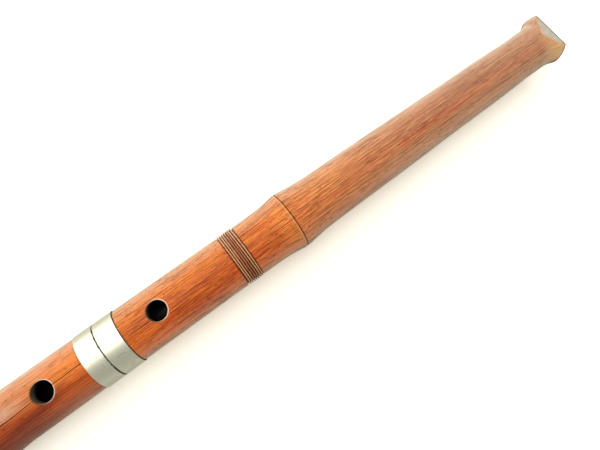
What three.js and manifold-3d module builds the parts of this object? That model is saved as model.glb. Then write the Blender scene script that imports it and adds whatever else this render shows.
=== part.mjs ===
// A bamboo shakuhachi in two sections, lying on its back with the finger holes up.
// Millimetres, +Z up, the mouth end towards +X.

import * as THREE from 'three';
import { mergeVertices } from 'three/addons/utils/BufferGeometryUtils.js';
import Module from 'manifold-3d';

const wasm = await Module();
wasm.setup();

// Driving sizes of the whole flute. Places are distances from the blowing edge, and those that
// set the notes or follow them keep their share of the sounding length.
const totalLength = 545;
const jointShare = 0.5578;
const jointPlace = totalLength * jointShare;
const jointGap = 0.4;
const seatGap = 0.2;
const slidingGap = 0.2;
// How far a cutter runs past what it cuts.
const overrun = 2;
const culmSides = 40;

// Outline of the upper culm.
const mouthRadius = 15.8;
const neckRadius = 12.6;
const culmRadius = 15;
const flareLength = 24;
const firstNodeShare = 0.3505;
const firstNodePlace = totalLength * firstNodeShare;
const nodeRise = 1.75;
const nodeMouthReach = 22;
const nodeRootReach = 18;
const nodeGrooveWidth = 0.9;
const nodeGrooveDepth = 0.4;

// Outline of the lower culm and its root end.
const lowerNodeShares = [0.679, 0.822];
const lowerNodePlaces = lowerNodeShares.map((share) => totalLength * share);
const lowerNodeRise = 1.3;
const lowerNodeReach = 14;
const rootStartShare = 0.8367;
const rootStart = totalLength * rootStartShare;
const rootRadius = 21.5;
const rootNodeShares = [0.8955, 0.9376, 0.9743];
const rootNodePlaces = rootNodeShares.map((share) => totalLength * share);
const rootNodeRise = 0.8;
const rootNodeReach = 7;
const rootRiseShare = 0.92;
const nubRadius = 1.6;
const nubRise = 1.2;
const nubRoot = 2;
const nubsInRing = 14;
const nubSides = 7;

// The blowing edge, the sloping end face and the inlay, which leaves a narrow rim of bamboo round
// it. The mouth is turned a little away from the row of finger holes.
const edgeHeight = 10.1;
const mouthTurn = THREE.MathUtils.degToRad(6);
const mouthCutAngle = THREE.MathUtils.degToRad(16.5);
const endFaceAngle = THREE.MathUtils.degToRad(26);
const mouthBoreRadius = 10;
const mouthBoreLength = 14;
const inlayRim = 0.8;
const inlayThickness = 1.7;
const inlayStep = 0.45;

// Bore and its lacquered lining.
const liningWall = 0.8;
const coreRadius = 2;
const upperBoreTop = 9.9;
const narrowBoreRadius = 7.7;
const narrowBoreShare = 0.8624;
const narrowBorePlace = totalLength * narrowBoreShare;
const rootBoreRadius = 9.4;

// Tenon, its socket and the two bands.
const tenonHoleMargin = 2.8;
const tenonWall = 2.65;
const tenonChamfer = 0.7;
const socketWall = 1.2;
const socketBackingWall = 1.45;
const bandProud = 0.45;
const bandWall = 0.8;
const bandLip = 0.8;
const upperBandLength = 11.1;
const lowerBandLength = 10.3;
const bandChamfer = 0.3;

// Cord binding below the first node.
const bindingShare = 0.4112;
const bindingPlace = totalLength * bindingShare;
const cordDiameter = 0.85;
const cordGap = 0.42;
const cordPitch = cordDiameter + cordGap;
const cordTurns = 7;
const cordSteps = 24;
const cordSides = 6;
const cordBendRadius = 0.9;
const cordBendSteps = 4;
const cordProud = 0.4;
const anchorPlay = 0.5;
const anchorSides = 12;

// Finger holes and the thumb hole.
const thumbHoleShare = 0.436;
const fourthHoleShare = 0.5004;
const lowerHoleShares = [0.6167, 0.7174, 0.7963];
const thumbHolePlace = totalLength * thumbHoleShare;
const fourthHolePlace = totalLength * fourthHoleShare;
const lowerHolePlaces = lowerHoleShares.map((share) => totalLength * share);
const upperHoleRadius = 5.25;
const lowerHoleRadius = 5.4;
const thumbHoleRadius = 5.1;
const holeChamfer = 0.45;
const holeSides = 28;

// The first node and the root nubs stand on the floor, so they set the height of the axis.
const restRadius = culmRadius + nodeRise;
const axisHeight = restRadius * Math.cos(Math.PI / culmSides);

// Shares of a rise against shares of the reach that it spreads over.
const flareShares = [
  [0, 1], [0.1, 0.94], [0.17, 0.82], [0.21, 0.56], [0.25, 0.28], [0.3, 0.12], [0.4, 0.05],
  [0.6, 0.02], [1, 0],
];
const taperShares = [[0, 0], [0.07, 0.16], [0.15, 0.3], [0.33, 0.42], [0.5, 0.64], [0.7, 0.83], [1, 1]];
const swellShares = [[0, 1], [0.12, 0.88], [0.28, 0.6], [0.5, 0.3], [0.75, 0.09], [1, 0]];
const rootShares = [[0, 0], [0.2, 0.08], [0.4, 0.27], [0.6, 0.53], [0.8, 0.8], [1, 1]];
const ringShares = [[0, 1], [0.35, 0.75], [0.7, 0.2], [1, 0]];

function shareAt(shares, reach) {
  for (let i = 1; i < shares.length; i += 1) {
    const [startReach, startShare] = shares[i - 1];
    const [endReach, endShare] = shares[i];
    if (reach <= endReach) {
      const part = Math.max(0, (reach - startReach) / (endReach - startReach));
      return startShare + (endShare - startShare) * part;
    }
  }
  return shares[shares.length - 1][1];
}

// Solids

function toSolid(geometry) {
  const bare = geometry.clone();
  bare.deleteAttribute('normal');
  bare.deleteAttribute('uv');
  const merged = mergeVertices(bare);
  return new wasm.Manifold(new wasm.Mesh({
    numProp: 3,
    vertProperties: merged.attributes.position.array,
    triVerts: Uint32Array.from(merged.index.array),
  }));
}

function toGeometry(solid) {
  const { vertProperties, triVerts } = solid.getMesh();
  const geometry = new THREE.BufferGeometry();
  geometry.setAttribute('position', new THREE.BufferAttribute(vertProperties, 3));
  geometry.setIndex(new THREE.BufferAttribute(triVerts, 1));
  geometry.computeVertexNormals();
  return geometry;
}

function cutAll(solid, cutters) {
  return cutters.reduce((rest, cutter) => rest.subtract(cutter), solid);
}

// Turns an outline of [place, radius] pairs about the flute's axis, with facets level at the top
// and bottom. The outline runs out along the outside towards the root and back along the bore.
function revolve(outline) {
  const points = outline.map(([place, radius]) => new THREE.Vector2(radius, -place)).reverse();
  const geometry = new THREE.LatheGeometry([...points, points[0].clone()], culmSides, Math.PI / culmSides);
  geometry.rotateZ(-Math.PI / 2);
  return geometry;
}

// Closes the outline of a blank with a narrow hole, which the bore then takes away.
function withCore(outline) {
  const first = outline[0];
  const last = outline[outline.length - 1];
  return [...outline, [last[0], coreRadius], [first[0], coreRadius]];
}

function boreCutter(outline) {
  const first = outline[0];
  const last = outline[outline.length - 1];
  return toSolid(revolve([...outline, [last[0], coreRadius / 2], [first[0], coreRadius / 2]]));
}

function ringCutter(startPlace, endPlace, innerRadius) {
  const outerRadius = restRadius + overrun;
  return toSolid(revolve([
    [startPlace, outerRadius],
    [endPlace, outerRadius],
    [endPlace, innerRadius],
    [startPlace, innerRadius],
  ]));
}

// How far the axis of the culm stands above the straight axis at a place.
function riseAt(place) {
  return rootWidening(place) * rootRiseShare;
}

function bendToRoot(geometry) {
  const positions = geometry.attributes.position;
  for (let i = 0; i < positions.count; i += 1) {
    positions.setZ(i, positions.getZ(i) + riseAt(-positions.getX(i)));
  }
  return geometry;
}

// Outlines

function swell(place, nodePlace, rise, mouthReach, rootReach) {
  const reach = place < nodePlace ? (nodePlace - place) / mouthReach : (place - nodePlace) / rootReach;
  return reach < 1 ? rise * shareAt(swellShares, reach) : 0;
}

function upperRadius(place) {
  if (place < flareLength) {
    return neckRadius + (mouthRadius - neckRadius) * shareAt(flareShares, place / flareLength);
  }
  const taper = shareAt(taperShares, Math.min(1, (place - flareLength) / (firstNodePlace - flareLength)));
  const node = swell(place, firstNodePlace, nodeRise, nodeMouthReach, nodeRootReach);
  return neckRadius + (culmRadius - neckRadius) * taper + node;
}

function rootWidening(place) {
  const reach = (place - rootStart) / (totalLength - rootStart);
  return reach > 0 ? (rootRadius - culmRadius) * shareAt(rootShares, Math.min(1, reach)) : 0;
}

function rootRing(place, nodePlace) {
  const reach = Math.abs(place - nodePlace) / rootNodeReach;
  return reach < 1 ? rootNodeRise * shareAt(ringShares, reach) : 0;
}

function lowerRadius(place) {
  const nodes = lowerNodePlaces.map(
    (node) => swell(place, node, lowerNodeRise, lowerNodeReach, lowerNodeReach),
  );
  const rings = rootNodePlaces.map((node) => rootRing(place, node));
  return culmRadius + rootWidening(place) + Math.max(...nodes) + Math.max(...rings);
}

// Places on both sides of a node, with the narrow groove of the sheath scar in the middle.
function nodePlaces(nodePlace, mouthReach, rootReach) {
  const shares = swellShares.map(([reach]) => reach).filter((reach) => reach > 0);
  const before = shares.map((reach) => nodePlace - reach * mouthReach).reverse();
  const after = shares.map((reach) => nodePlace + reach * rootReach);
  const groove = [nodePlace - nodeGrooveWidth / 2, nodePlace, nodePlace + nodeGrooveWidth / 2];
  return [...before, ...groove, ...after];
}

function grooveDepth(place, nodes) {
  return nodes.includes(place) ? nodeGrooveDepth : 0;
}

function upperOutline() {
  const flare = flareShares.map(([reach]) => reach * flareLength);
  const neck = taperShares.map(([reach]) => flareLength + reach * (firstNodePlace - flareLength));
  const node = nodePlaces(firstNodePlace, nodeMouthReach, nodeRootReach);
  const plain = neck.filter((place) => place > flareLength && place < node[0]);
  return [...flare, ...plain, ...node, upperCulmEnd].map(
    (place) => [place, upperRadius(place) - grooveDepth(place, [firstNodePlace])],
  );
}

function lowerOutline() {
  const flare = rootShares.map(([reach]) => rootStart + reach * (totalLength - rootStart));
  const nodes = lowerNodePlaces.flatMap((node) => nodePlaces(node, lowerNodeReach, lowerNodeReach));
  const rings = rootNodePlaces.flatMap((node) => ringShares.flatMap(
    ([reach]) => [node - reach * rootNodeReach, node + reach * rootNodeReach],
  ));
  const all = [lowerCulmStart, ...nodes, ...flare, ...rings].filter((place) => place <= totalLength);
  const places = [...new Set(all)].sort((a, b) => a - b);
  return places.map((place) => [place, lowerRadius(place) - grooveDepth(place, lowerNodePlaces)]);
}

// Sizes that follow from the ones above.
const upperCulmEnd = jointPlace - bandLip - seatGap;
const lowerCulmStart = jointPlace + jointGap + bandLip + seatGap;
const tenonStart = fourthHolePlace + upperHoleRadius + tenonHoleMargin;
const tenonEnd = lowerHolePlaces[0] - lowerHoleRadius - tenonHoleMargin;
const bandRadius = culmRadius + bandProud;
const bandSeatRadius = bandRadius - bandWall - seatGap;
const socketOuterRadius = bandSeatRadius - socketBackingWall - seatGap;
const socketRadius = socketOuterRadius - socketWall;
const tenonRadius = socketRadius - slidingGap;
const jointBoreRadius = tenonRadius - tenonWall;
const socketEnd = tenonEnd + jointGap;
const upperBandStart = jointPlace - upperBandLength;
const lowerBandEnd = jointPlace + jointGap + lowerBandLength;
const cordRadius = cordDiameter / 2;
const cordCentreRadius = culmRadius + cordProud - cordRadius;
const recessRadius = cordCentreRadius - cordRadius - seatGap;
const recessLength = cordTurns * cordPitch + cordDiameter + seatGap;
const cordStartPlace = bindingPlace - (cordTurns * cordPitch) / 2;
const cordEndPlace = cordStartPlace + cordTurns * cordPitch;
const upperLiningStart = mouthBoreLength + seatGap;
const upperLiningEnd = tenonStart - seatGap;
const lowerLiningStart = socketEnd + seatGap;

function boreRadius(place) {
  if (place < jointPlace) {
    const part = Math.max(0, (place - mouthBoreLength) / (tenonStart - mouthBoreLength));
    return upperBoreTop + (jointBoreRadius - upperBoreTop) * Math.min(1, part);
  }
  if (place < narrowBorePlace) {
    const part = Math.max(0, (place - tenonEnd) / (narrowBorePlace - tenonEnd));
    return jointBoreRadius + (narrowBoreRadius - jointBoreRadius) * part;
  }
  const part = (place - narrowBorePlace) / (totalLength - narrowBorePlace);
  return narrowBoreRadius + (rootBoreRadius - narrowBoreRadius) * part;
}

// The places where the bore changes its taper or follows the bend of the root.
function lowerBorePlaces() {
  const bend = rootShares.map(([reach]) => rootStart + reach * (totalLength - rootStart));
  return [lowerLiningStart, ...bend, narrowBorePlace].sort((a, b) => a - b);
}

function liningOutline(places) {
  const outside = places.map((place) => [place, boreRadius(place) + liningWall]);
  const inside = places.map((place) => [place, boreRadius(place)]).reverse();
  return [...outside, ...inside];
}

// Cutters

function holeCutter(place, radius, side) {
  const depth = restRadius + overrun;
  const shaft = new THREE.CylinderGeometry(radius, radius, depth, holeSides);
  shaft.translate(0, depth / 2, 0);
  const coneReach = culmRadius + holeChamfer;
  const cone = new THREE.CylinderGeometry(radius + 2 * holeChamfer, radius, 2 * holeChamfer, holeSides);
  cone.translate(0, coneReach - holeChamfer, 0);
  const cutter = toSolid(shaft).add(toSolid(cone));
  const geometry = toGeometry(cutter);
  geometry.rotateX(side * Math.PI / 2);
  geometry.translate(-place, 0, 0);
  return toSolid(geometry);
}

// The frame of the sloping mouth cut: across the flute, along the cut towards the root, and out of it.
function mouthCutFrame() {
  const across = new THREE.Vector3(0, 1, 0);
  const along = new THREE.Vector3(-Math.cos(mouthCutAngle), 0, Math.sin(mouthCutAngle));
  const outward = new THREE.Vector3().crossVectors(across, along);
  const frame = new THREE.Matrix4().makeBasis(across, along, outward).setPosition(0, 0, edgeHeight);
  return frame.premultiply(new THREE.Matrix4().makeRotationX(-mouthTurn));
}

function mouthCutter() {
  const width = 2 * mouthRadius + overrun;
  const height = mouthRadius;
  const geometry = new THREE.BoxGeometry(width, 2 * flareLength, height);
  geometry.translate(0, flareLength / 2, height / 2);
  geometry.applyMatrix4(mouthCutFrame());
  return toSolid(geometry);
}

// Half the width that the mouth cut leaves on the culm at a distance along the cut.
function cutHalfWidth(along) {
  const height = edgeHeight + along * Math.sin(mouthCutAngle);
  const radius = upperRadius(along * Math.cos(mouthCutAngle));
  return Math.sqrt(Math.max(0, radius ** 2 - height ** 2));
}

// One side of the crescent that the mouth cut shows, from the blowing edge to its far end.
function cutOutline() {
  const side = [];
  let along = 0;
  while (cutHalfWidth(along) > 0) {
    side.push(new THREE.Vector2(cutHalfWidth(along), along));
    along += inlayStep;
  }
  return side;
}

// A crescent plate under the mouth cut, inside its rim, grown all round by an allowance for its pocket.
function inlayBlank(allowance) {
  const side = cutOutline();
  const reach = side[side.length - 1].y;
  const share = 1 - (inlayRim - allowance) / reach;
  side.forEach((point) => point.multiplyScalar(share));
  const otherSide = side.map((point) => new THREE.Vector2(-point.x, point.y)).reverse();
  const start = side[0].x;
  const shape = new THREE.Shape([
    new THREE.Vector2(-start, -overrun), new THREE.Vector2(start, -overrun), ...side, ...otherSide,
  ]);
  const thickness = inlayThickness + 2 * allowance;
  const geometry = new THREE.ExtrudeGeometry(shape, { depth: thickness, bevelEnabled: false });
  geometry.translate(0, 0, allowance - thickness);
  geometry.applyMatrix4(mouthCutFrame());
  return toSolid(geometry);
}

// Everything beyond the sloping end face.
function endFaceCutter() {
  const size = 4 * mouthRadius;
  const geometry = new THREE.BoxGeometry(size, size, size);
  geometry.translate(size / 2, 0, 0);
  geometry.rotateY(endFaceAngle);
  geometry.translate(0, 0, edgeHeight);
  geometry.rotateX(-mouthTurn);
  return toSolid(geometry);
}

function mouthBoreCutter() {
  return boreCutter([[-mouthRadius, mouthBoreRadius], [mouthBoreLength, mouthBoreRadius]]);
}

function anchorCutter(place, turn) {
  const depth = cordBendRadius + cordDiameter + seatGap;
  const geometry = new THREE.CylinderGeometry(
    cordRadius + anchorPlay, cordRadius + anchorPlay, depth + overrun, anchorSides,
  );
  geometry.rotateX(Math.PI / 2);
  geometry.translate(-place, -turn * cordBendRadius, (overrun - depth) / 2 + cordCentreRadius);
  geometry.rotateX(Math.PI);
  return toSolid(geometry);
}

// Culms

function upperCulm() {
  const seat = tenonRadius + seatGap;
  const clear = liningWall + seatGap;
  const culm = toSolid(revolve(withCore(upperOutline())));
  const recessStart = bindingPlace - recessLength / 2;
  return cutAll(culm, [
    boreCutter([[upperLiningEnd, seat], [jointPlace, seat]]),
    boreCutter([
      [mouthBoreLength, boreRadius(mouthBoreLength) + clear],
      [upperLiningEnd, boreRadius(upperLiningEnd) + clear],
    ]),
    mouthBoreCutter(),
    ringCutter(upperBandStart - seatGap, jointPlace, bandSeatRadius),
    ringCutter(recessStart, recessStart + recessLength, recessRadius),
    anchorCutter(cordStartPlace, 1),
    anchorCutter(cordEndPlace, -1),
    endFaceCutter(),
    mouthCutter(),
    inlayBlank(seatGap),
    holeCutter(fourthHolePlace, upperHoleRadius, 1),
    holeCutter(thumbHolePlace, thumbHoleRadius, -1),
  ]);
}

function rootNub(place, angle) {
  const base = culmRadius + rootWidening(place) + rootNodeRise - nubRoot;
  const length = nubRoot + nubRise;
  const geometry = new THREE.CylinderGeometry(nubRadius, nubRadius, length, nubSides);
  geometry.rotateX(Math.PI / 2);
  geometry.translate(0, 0, base + length / 2);
  geometry.rotateX(angle);
  geometry.translate(-place, 0, riseAt(place));
  return toSolid(geometry);
}

function floorCutter() {
  const size = 3 * rootRadius;
  const geometry = new THREE.BoxGeometry(totalLength, size, size);
  geometry.translate(-totalLength, 0, -size / 2 - axisHeight);
  return toSolid(geometry);
}

function lowerCulm() {
  const places = lowerBorePlaces();
  const clear = liningWall + seatGap;
  const bore = places.map((place) => [place, boreRadius(place) + clear]).reverse();
  const socket = [
    [lowerLiningStart, socketOuterRadius + seatGap],
    [lowerCulmStart, socketOuterRadius + seatGap],
  ];
  let culm = toSolid(bendToRoot(revolve([...lowerOutline(), ...bore, ...socket])));
  rootNodePlaces.forEach((place) => {
    for (let i = 0; i < nubsInRing; i += 1) {
      const turn = i + 0.5;
      culm = culm.add(rootNub(place, (turn / nubsInRing) * 2 * Math.PI + Math.PI));
    }
  });
  return cutAll(culm, [
    floorCutter(),
    ringCutter(jointPlace, lowerBandEnd + seatGap, bandSeatRadius),
    ...lowerHolePlaces.map((place) => holeCutter(place, lowerHoleRadius, 1)),
  ]);
}

// Mouth inlay and linings

function mouthInlay() {
  return cutAll(inlayBlank(0), [endFaceCutter(), mouthBoreCutter()]);
}

function upperLining() {
  const lining = toSolid(revolve(liningOutline([upperLiningStart, upperLiningEnd])));
  return cutAll(lining, [
    holeCutter(fourthHolePlace, upperHoleRadius, 1),
    holeCutter(thumbHolePlace, thumbHoleRadius, -1),
  ]);
}

function lowerLining() {
  const lining = toSolid(bendToRoot(revolve(liningOutline(lowerBorePlaces()))));
  return cutAll(lining, [
    ...lowerHolePlaces.map((place) => holeCutter(place, lowerHoleRadius, 1)),
  ]);
}

// Joint

function tenonSleeve() {
  return revolve([
    [tenonStart, tenonRadius],
    [tenonEnd - tenonChamfer, tenonRadius],
    [tenonEnd, tenonRadius - tenonChamfer],
    [tenonEnd, jointBoreRadius],
    [tenonStart, jointBoreRadius],
  ]);
}

// The socket ends in a step that the tenon stops short of, as wide as the bore.
function socketSleeve() {
  const start = jointPlace + jointGap + seatGap;
  return revolve([
    [start, socketOuterRadius],
    [socketEnd, socketOuterRadius],
    [socketEnd, socketRadius],
    [start, socketRadius],
  ]);
}

// A ring round the end of a culm with a lip over its end face. The lip is at the joint.
function band(lipPlace, farPlace, lipInnerRadius) {
  const side = Math.sign(farPlace - lipPlace);
  const outline = [
    [lipPlace, bandRadius - bandChamfer],
    [lipPlace + side * bandChamfer, bandRadius],
    [farPlace - side * bandChamfer, bandRadius],
    [farPlace, bandRadius - bandChamfer],
    [farPlace, bandRadius - bandWall],
    [lipPlace + side * bandLip, bandRadius - bandWall],
    [lipPlace + side * bandLip, lipInnerRadius],
    [lipPlace, lipInnerRadius],
  ];
  return revolve(side > 0 ? outline : outline.reverse());
}

function upperBand() {
  return band(jointPlace, upperBandStart, tenonRadius + seatGap);
}

function lowerBand() {
  return band(jointPlace + jointGap, lowerBandEnd, socketOuterRadius + seatGap);
}

// Cord binding

// The middle of the cord starts in its anchor hole under the flute, runs out and bends into the
// helix, and goes back into the second hole in the same way.
function cordPath() {
  const anchor = cordBendEnd(1);
  const points = [];
  points.push(new THREE.Vector3(-cordStartPlace, anchor.y, anchor.z + cordDiameter));
  for (let i = 0; i <= cordBendSteps; i += 1) {
    points.push(cordBendPoint(-cordStartPlace, 1, 1 - i / cordBendSteps));
  }
  const steps = cordTurns * cordSteps;
  for (let i = 1; i < steps; i += 1) {
    const angle = (i / cordSteps) * 2 * Math.PI;
    const place = cordStartPlace + (i / cordSteps) * cordPitch;
    points.push(new THREE.Vector3(
      -place, -cordCentreRadius * Math.sin(angle), -cordCentreRadius * Math.cos(angle),
    ));
  }
  for (let i = 0; i <= cordBendSteps; i += 1) {
    points.push(cordBendPoint(-cordEndPlace, -1, i / cordBendSteps));
  }
  points.push(new THREE.Vector3(-cordEndPlace, -anchor.y, anchor.z + cordDiameter));
  return points;
}

// A quarter bend at the bottom of the culm: part 0 lies on the helix, part 1 points at the axis.
function cordBendPoint(x, turn, part) {
  const angle = part * Math.PI / 2;
  const y = turn * cordBendRadius * Math.sin(angle);
  const z = -cordCentreRadius + cordBendRadius * (1 - Math.cos(angle));
  return new THREE.Vector3(x, y, z);
}

function cordBendEnd(turn) {
  return cordBendPoint(0, turn, 1);
}

function cordBinding() {
  const path = cordPath();
  const positions = [];
  path.forEach((point, i) => {
    const before = path[Math.max(0, i - 1)];
    const after = path[Math.min(path.length - 1, i + 1)];
    const along = new THREE.Vector3().subVectors(after, before).normalize();
    const side = new THREE.Vector3(1, 0, 0).addScaledVector(along, -along.x).normalize();
    const out = new THREE.Vector3().crossVectors(along, side);
    for (let k = 0; k < cordSides; k += 1) {
      const angle = (k / cordSides) * 2 * Math.PI;
      const corner = point.clone();
      corner.addScaledVector(side, cordRadius * Math.cos(angle));
      corner.addScaledVector(out, cordRadius * Math.sin(angle));
      positions.push(corner.x, corner.y, corner.z);
    }
  });
  const faces = [];
  for (let i = 0; i + 1 < path.length; i += 1) {
    for (let k = 0; k < cordSides; k += 1) {
      const next = (k + 1) % cordSides;
      const a = i * cordSides + k;
      const b = i * cordSides + next;
      faces.push(a, b, a + cordSides, b, b + cordSides, a + cordSides);
    }
  }
  const last = (path.length - 1) * cordSides;
  for (let k = 1; k + 1 < cordSides; k += 1) {
    faces.push(0, k + 1, k, last, last + k, last + k + 1);
  }
  const geometry = new THREE.BufferGeometry();
  geometry.setAttribute('position', new THREE.Float32BufferAttribute(positions, 3));
  geometry.setIndex(faces);
  geometry.computeVertexNormals();
  console.log('least gap between turns of the cord:', leastCordGap(path).toFixed(3), 'mm');
  return geometry;
}

// The least gap is measured between points of the path that are at least half a turn apart.
function leastCordGap(path) {
  let least = Infinity;
  for (let i = 0; i < path.length; i += 1) {
    for (let j = i + cordSteps / 2; j < path.length; j += 1) {
      least = Math.min(least, path[i].distanceTo(path[j]));
    }
  }
  return least - cordDiameter;
}

// Finishes

function finish(color, roughness, metalness) {
  return new THREE.MeshStandardMaterial({ color, roughness, metalness });
}

const bamboo = finish(0xb4592b, 0.35, 0);
const inlay = finish(0xb9b5a6, 0.3, 0);
const lacquer = finish(0x14100e, 0.25, 0);
const bandMetal = finish(0xc9cabb, 0.35, 0.9);
const tenonLacquer = finish(0x3a1c12, 0.4, 0);
const cord = finish(0x5a3a22, 0.55, 0);

// Assembly

function piece(name, shape, material) {
  const geometry = shape instanceof THREE.BufferGeometry ? shape : toGeometry(shape);
  const mesh = new THREE.Mesh(geometry, material);
  mesh.name = name;
  return mesh;
}

const upperSection = new THREE.Group();
upperSection.add(
  piece('upper_bamboo', upperCulm(), bamboo),
  piece('mouth_inlay', mouthInlay(), inlay),
  piece('upper_bore_lining', upperLining(), lacquer),
  piece('upper_joint_band', upperBand(), bandMetal),
  piece('cord_binding', cordBinding(), cord),
);

const tenonSection = new THREE.Group();
tenonSection.add(piece('tenon_sleeve', tenonSleeve(), tenonLacquer));

const lowerSection = new THREE.Group();
lowerSection.add(
  piece('lower_bamboo', lowerCulm(), bamboo),
  piece('lower_bore_lining', lowerLining(), lacquer),
  piece('socket_sleeve', socketSleeve(), lacquer),
  piece('lower_joint_band', lowerBand(), bandMetal),
);

const flute = new THREE.Group();
flute.position.set(totalLength / 2, 0, axisHeight);
flute.add(upperSection, tenonSection, lowerSection);

export default flute;
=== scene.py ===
# %% [markdown]
# # A bamboo flute in two sections
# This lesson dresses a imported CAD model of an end-blown bamboo flute. The CAD gives every place
# and size; here the pieces are made smooth, and get the bamboo, lacquer, metal and cord of the
# real thing.

import math

import bmesh
import bpy
from mathutils import Matrix, Vector, noise


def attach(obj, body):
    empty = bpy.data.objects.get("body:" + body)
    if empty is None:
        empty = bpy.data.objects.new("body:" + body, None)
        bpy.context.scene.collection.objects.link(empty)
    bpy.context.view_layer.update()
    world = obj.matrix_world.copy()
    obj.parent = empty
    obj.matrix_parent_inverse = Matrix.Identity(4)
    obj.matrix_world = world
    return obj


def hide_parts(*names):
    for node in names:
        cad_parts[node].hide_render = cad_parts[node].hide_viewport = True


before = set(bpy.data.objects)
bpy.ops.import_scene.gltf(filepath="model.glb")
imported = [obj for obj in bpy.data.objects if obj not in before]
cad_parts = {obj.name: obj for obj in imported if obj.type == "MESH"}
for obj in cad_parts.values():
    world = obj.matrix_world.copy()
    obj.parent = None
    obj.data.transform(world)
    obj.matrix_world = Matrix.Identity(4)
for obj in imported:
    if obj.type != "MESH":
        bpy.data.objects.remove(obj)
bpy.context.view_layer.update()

# %% [markdown]
# ## Sizes
# A flute maker measures along the bore, so every place here is a distance in millimetres from
# the blowing edge, and every radius is measured from the bore's axis. The CAD is faceted, and a
# smooth piece has to stay inside it. So each radius is drawn in to the middle of the facets.

# %% Sizes of the flute
MM = 0.001
TOTAL_LENGTH = 545.0
CAD_SIDES = 40
FACET = math.cos(math.pi / CAD_SIDES)
JOINT_PLACE = 0.5578 * TOTAL_LENGTH
JOINT_GAP = 0.4
SEAT_GAP = 0.2
LIP = 0.8

MOUTH_RADIUS = 15.8
NECK_RADIUS = 12.6
CULM_RADIUS = 15.0
FLARE_LENGTH = 24.0
FIRST_NODE = 0.3505 * TOTAL_LENGTH
NODE_RISE = 1.75
NODE_MOUTH_REACH = 22.0
NODE_ROOT_REACH = 18.0
AXIS_HEIGHT = (CULM_RADIUS + NODE_RISE) * FACET

LOWER_NODES = [0.679 * TOTAL_LENGTH, 0.822 * TOTAL_LENGTH]
LOWER_NODE_RISE = 1.3
LOWER_NODE_REACH = 14.0
ROOT_START = 0.8367 * TOTAL_LENGTH
ROOT_RADIUS = 21.5
ROOT_NODES = [0.8955 * TOTAL_LENGTH, 0.9376 * TOTAL_LENGTH, 0.9743 * TOTAL_LENGTH]
ROOT_NODE_RISE = 0.8
ROOT_NODE_REACH = 7.0
ROOT_RISE_SHARE = 0.92

EDGE_HEIGHT = 10.1
MOUTH_TURN = math.radians(6)
END_FACE_ANGLE = math.radians(26)
MOUTH_LEAN = 0.045
LEAN_REACH = 12.0

UPPER_HOLE = 5.25
LOWER_HOLE = 5.4
UPPER_HOLE_PLACE = 0.5004 * TOTAL_LENGTH
LOWER_HOLE_PLACES = [0.6167 * TOTAL_LENGTH, 0.7174 * TOTAL_LENGTH, 0.7963 * TOTAL_LENGTH]
FINGER_HOLES = [(UPPER_HOLE_PLACE, UPPER_HOLE)] + [(place, LOWER_HOLE) for place in LOWER_HOLE_PLACES]
THUMB_PLACE = 0.436 * TOTAL_LENGTH
THUMB_HOLE = 5.1

BINDING_PLACE = 0.4112 * TOTAL_LENGTH
CORD_DIAMETER = 0.85
CORD_CENTRE_RADIUS = CULM_RADIUS + 0.4 - CORD_DIAMETER / 2
UPPER_BAND_LENGTH = 11.1
LOWER_BAND_LENGTH = 10.3
UPPER_BAND_START = JOINT_PLACE - UPPER_BAND_LENGTH
LOWER_BAND_END = JOINT_PLACE + JOINT_GAP + LOWER_BAND_LENGTH

TO_METRES = Matrix.Scale(MM, 4) @ Matrix.Translation((TOTAL_LENGTH / 2, 0, AXIS_HEIGHT))

# %% [markdown]
# ## The camera
# The photograph was taken from close above, looking along the flute towards the mouth. The
# camera stands over a point of the axis, leans towards the mouth, and is rolled so that the
# flute runs from the lower left to the upper right. The view's axes are built one by one: along
# the flute, across it, and then the roll between them.

# %% Set the camera up
CAMERA_LENS = 30.0
CAMERA_SENSOR = 36.0
CAMERA_FOOT = 39.8
CAMERA_DISTANCE = 269.1
CAMERA_SIDE_TURN = math.radians(8.0)
CAMERA_LEAN = math.radians(9.46)
CAMERA_PAN = math.atan(9.3 / 500.0)
CAMERA_ROLL = math.radians(35.46)


def make_camera():
    along = Vector((1, 0, 0))
    outward = Vector((0, -math.sin(CAMERA_SIDE_TURN), math.cos(CAMERA_SIDE_TURN)))
    place = Vector((CAMERA_FOOT, 0, AXIS_HEIGHT)) + CAMERA_DISTANCE * outward
    level = math.sin(CAMERA_LEAN) * along - math.cos(CAMERA_LEAN) * outward
    up_flute = math.cos(CAMERA_LEAN) * along + math.sin(CAMERA_LEAN) * outward
    sideways = up_flute.cross(level).normalized()
    if sideways.y > 0:
        sideways.negate()
    forward = math.cos(CAMERA_PAN) * level + math.sin(CAMERA_PAN) * sideways
    across = math.cos(CAMERA_PAN) * sideways - math.sin(CAMERA_PAN) * level
    right = math.cos(CAMERA_ROLL) * up_flute + math.sin(CAMERA_ROLL) * across
    up = right.cross(forward)
    camera = bpy.data.objects.new("camera", bpy.data.cameras.new("camera"))
    camera.data.lens = CAMERA_LENS
    camera.data.sensor_width = CAMERA_SENSOR
    camera.data.clip_start = 0.01
    axes = Matrix((right, up, -forward)).transposed().to_4x4()
    camera.matrix_world = Matrix.Translation(place * MM) @ axes
    bpy.context.scene.collection.objects.link(camera)
    bpy.context.scene.camera = camera
    return camera


camera = make_camera()
print("camera at, metres:", [round(part, 3) for part in camera.matrix_world.translation])

# %% [markdown]
# ## Helpers for node trees
# Floor, finishes and grown shapes are all built from nodes. A few short functions add a node,
# feed its inputs and do sums with them, so that each later line says one thing.

# %% Small helpers for node trees
FLOAT, VECTOR = "NodeSocketFloat", "NodeSocketVector"


def add(tree, kind, **settings):
    node = tree.nodes.new(kind)
    for name, value in settings.items():
        setattr(node, name, value)
    return node


def feed(tree, socket, value):
    """Links an output to a socket, or sets a plain value on it."""
    if isinstance(value, bpy.types.NodeSocket):
        tree.links.new(value, socket)
    else:
        socket.default_value = value


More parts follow.
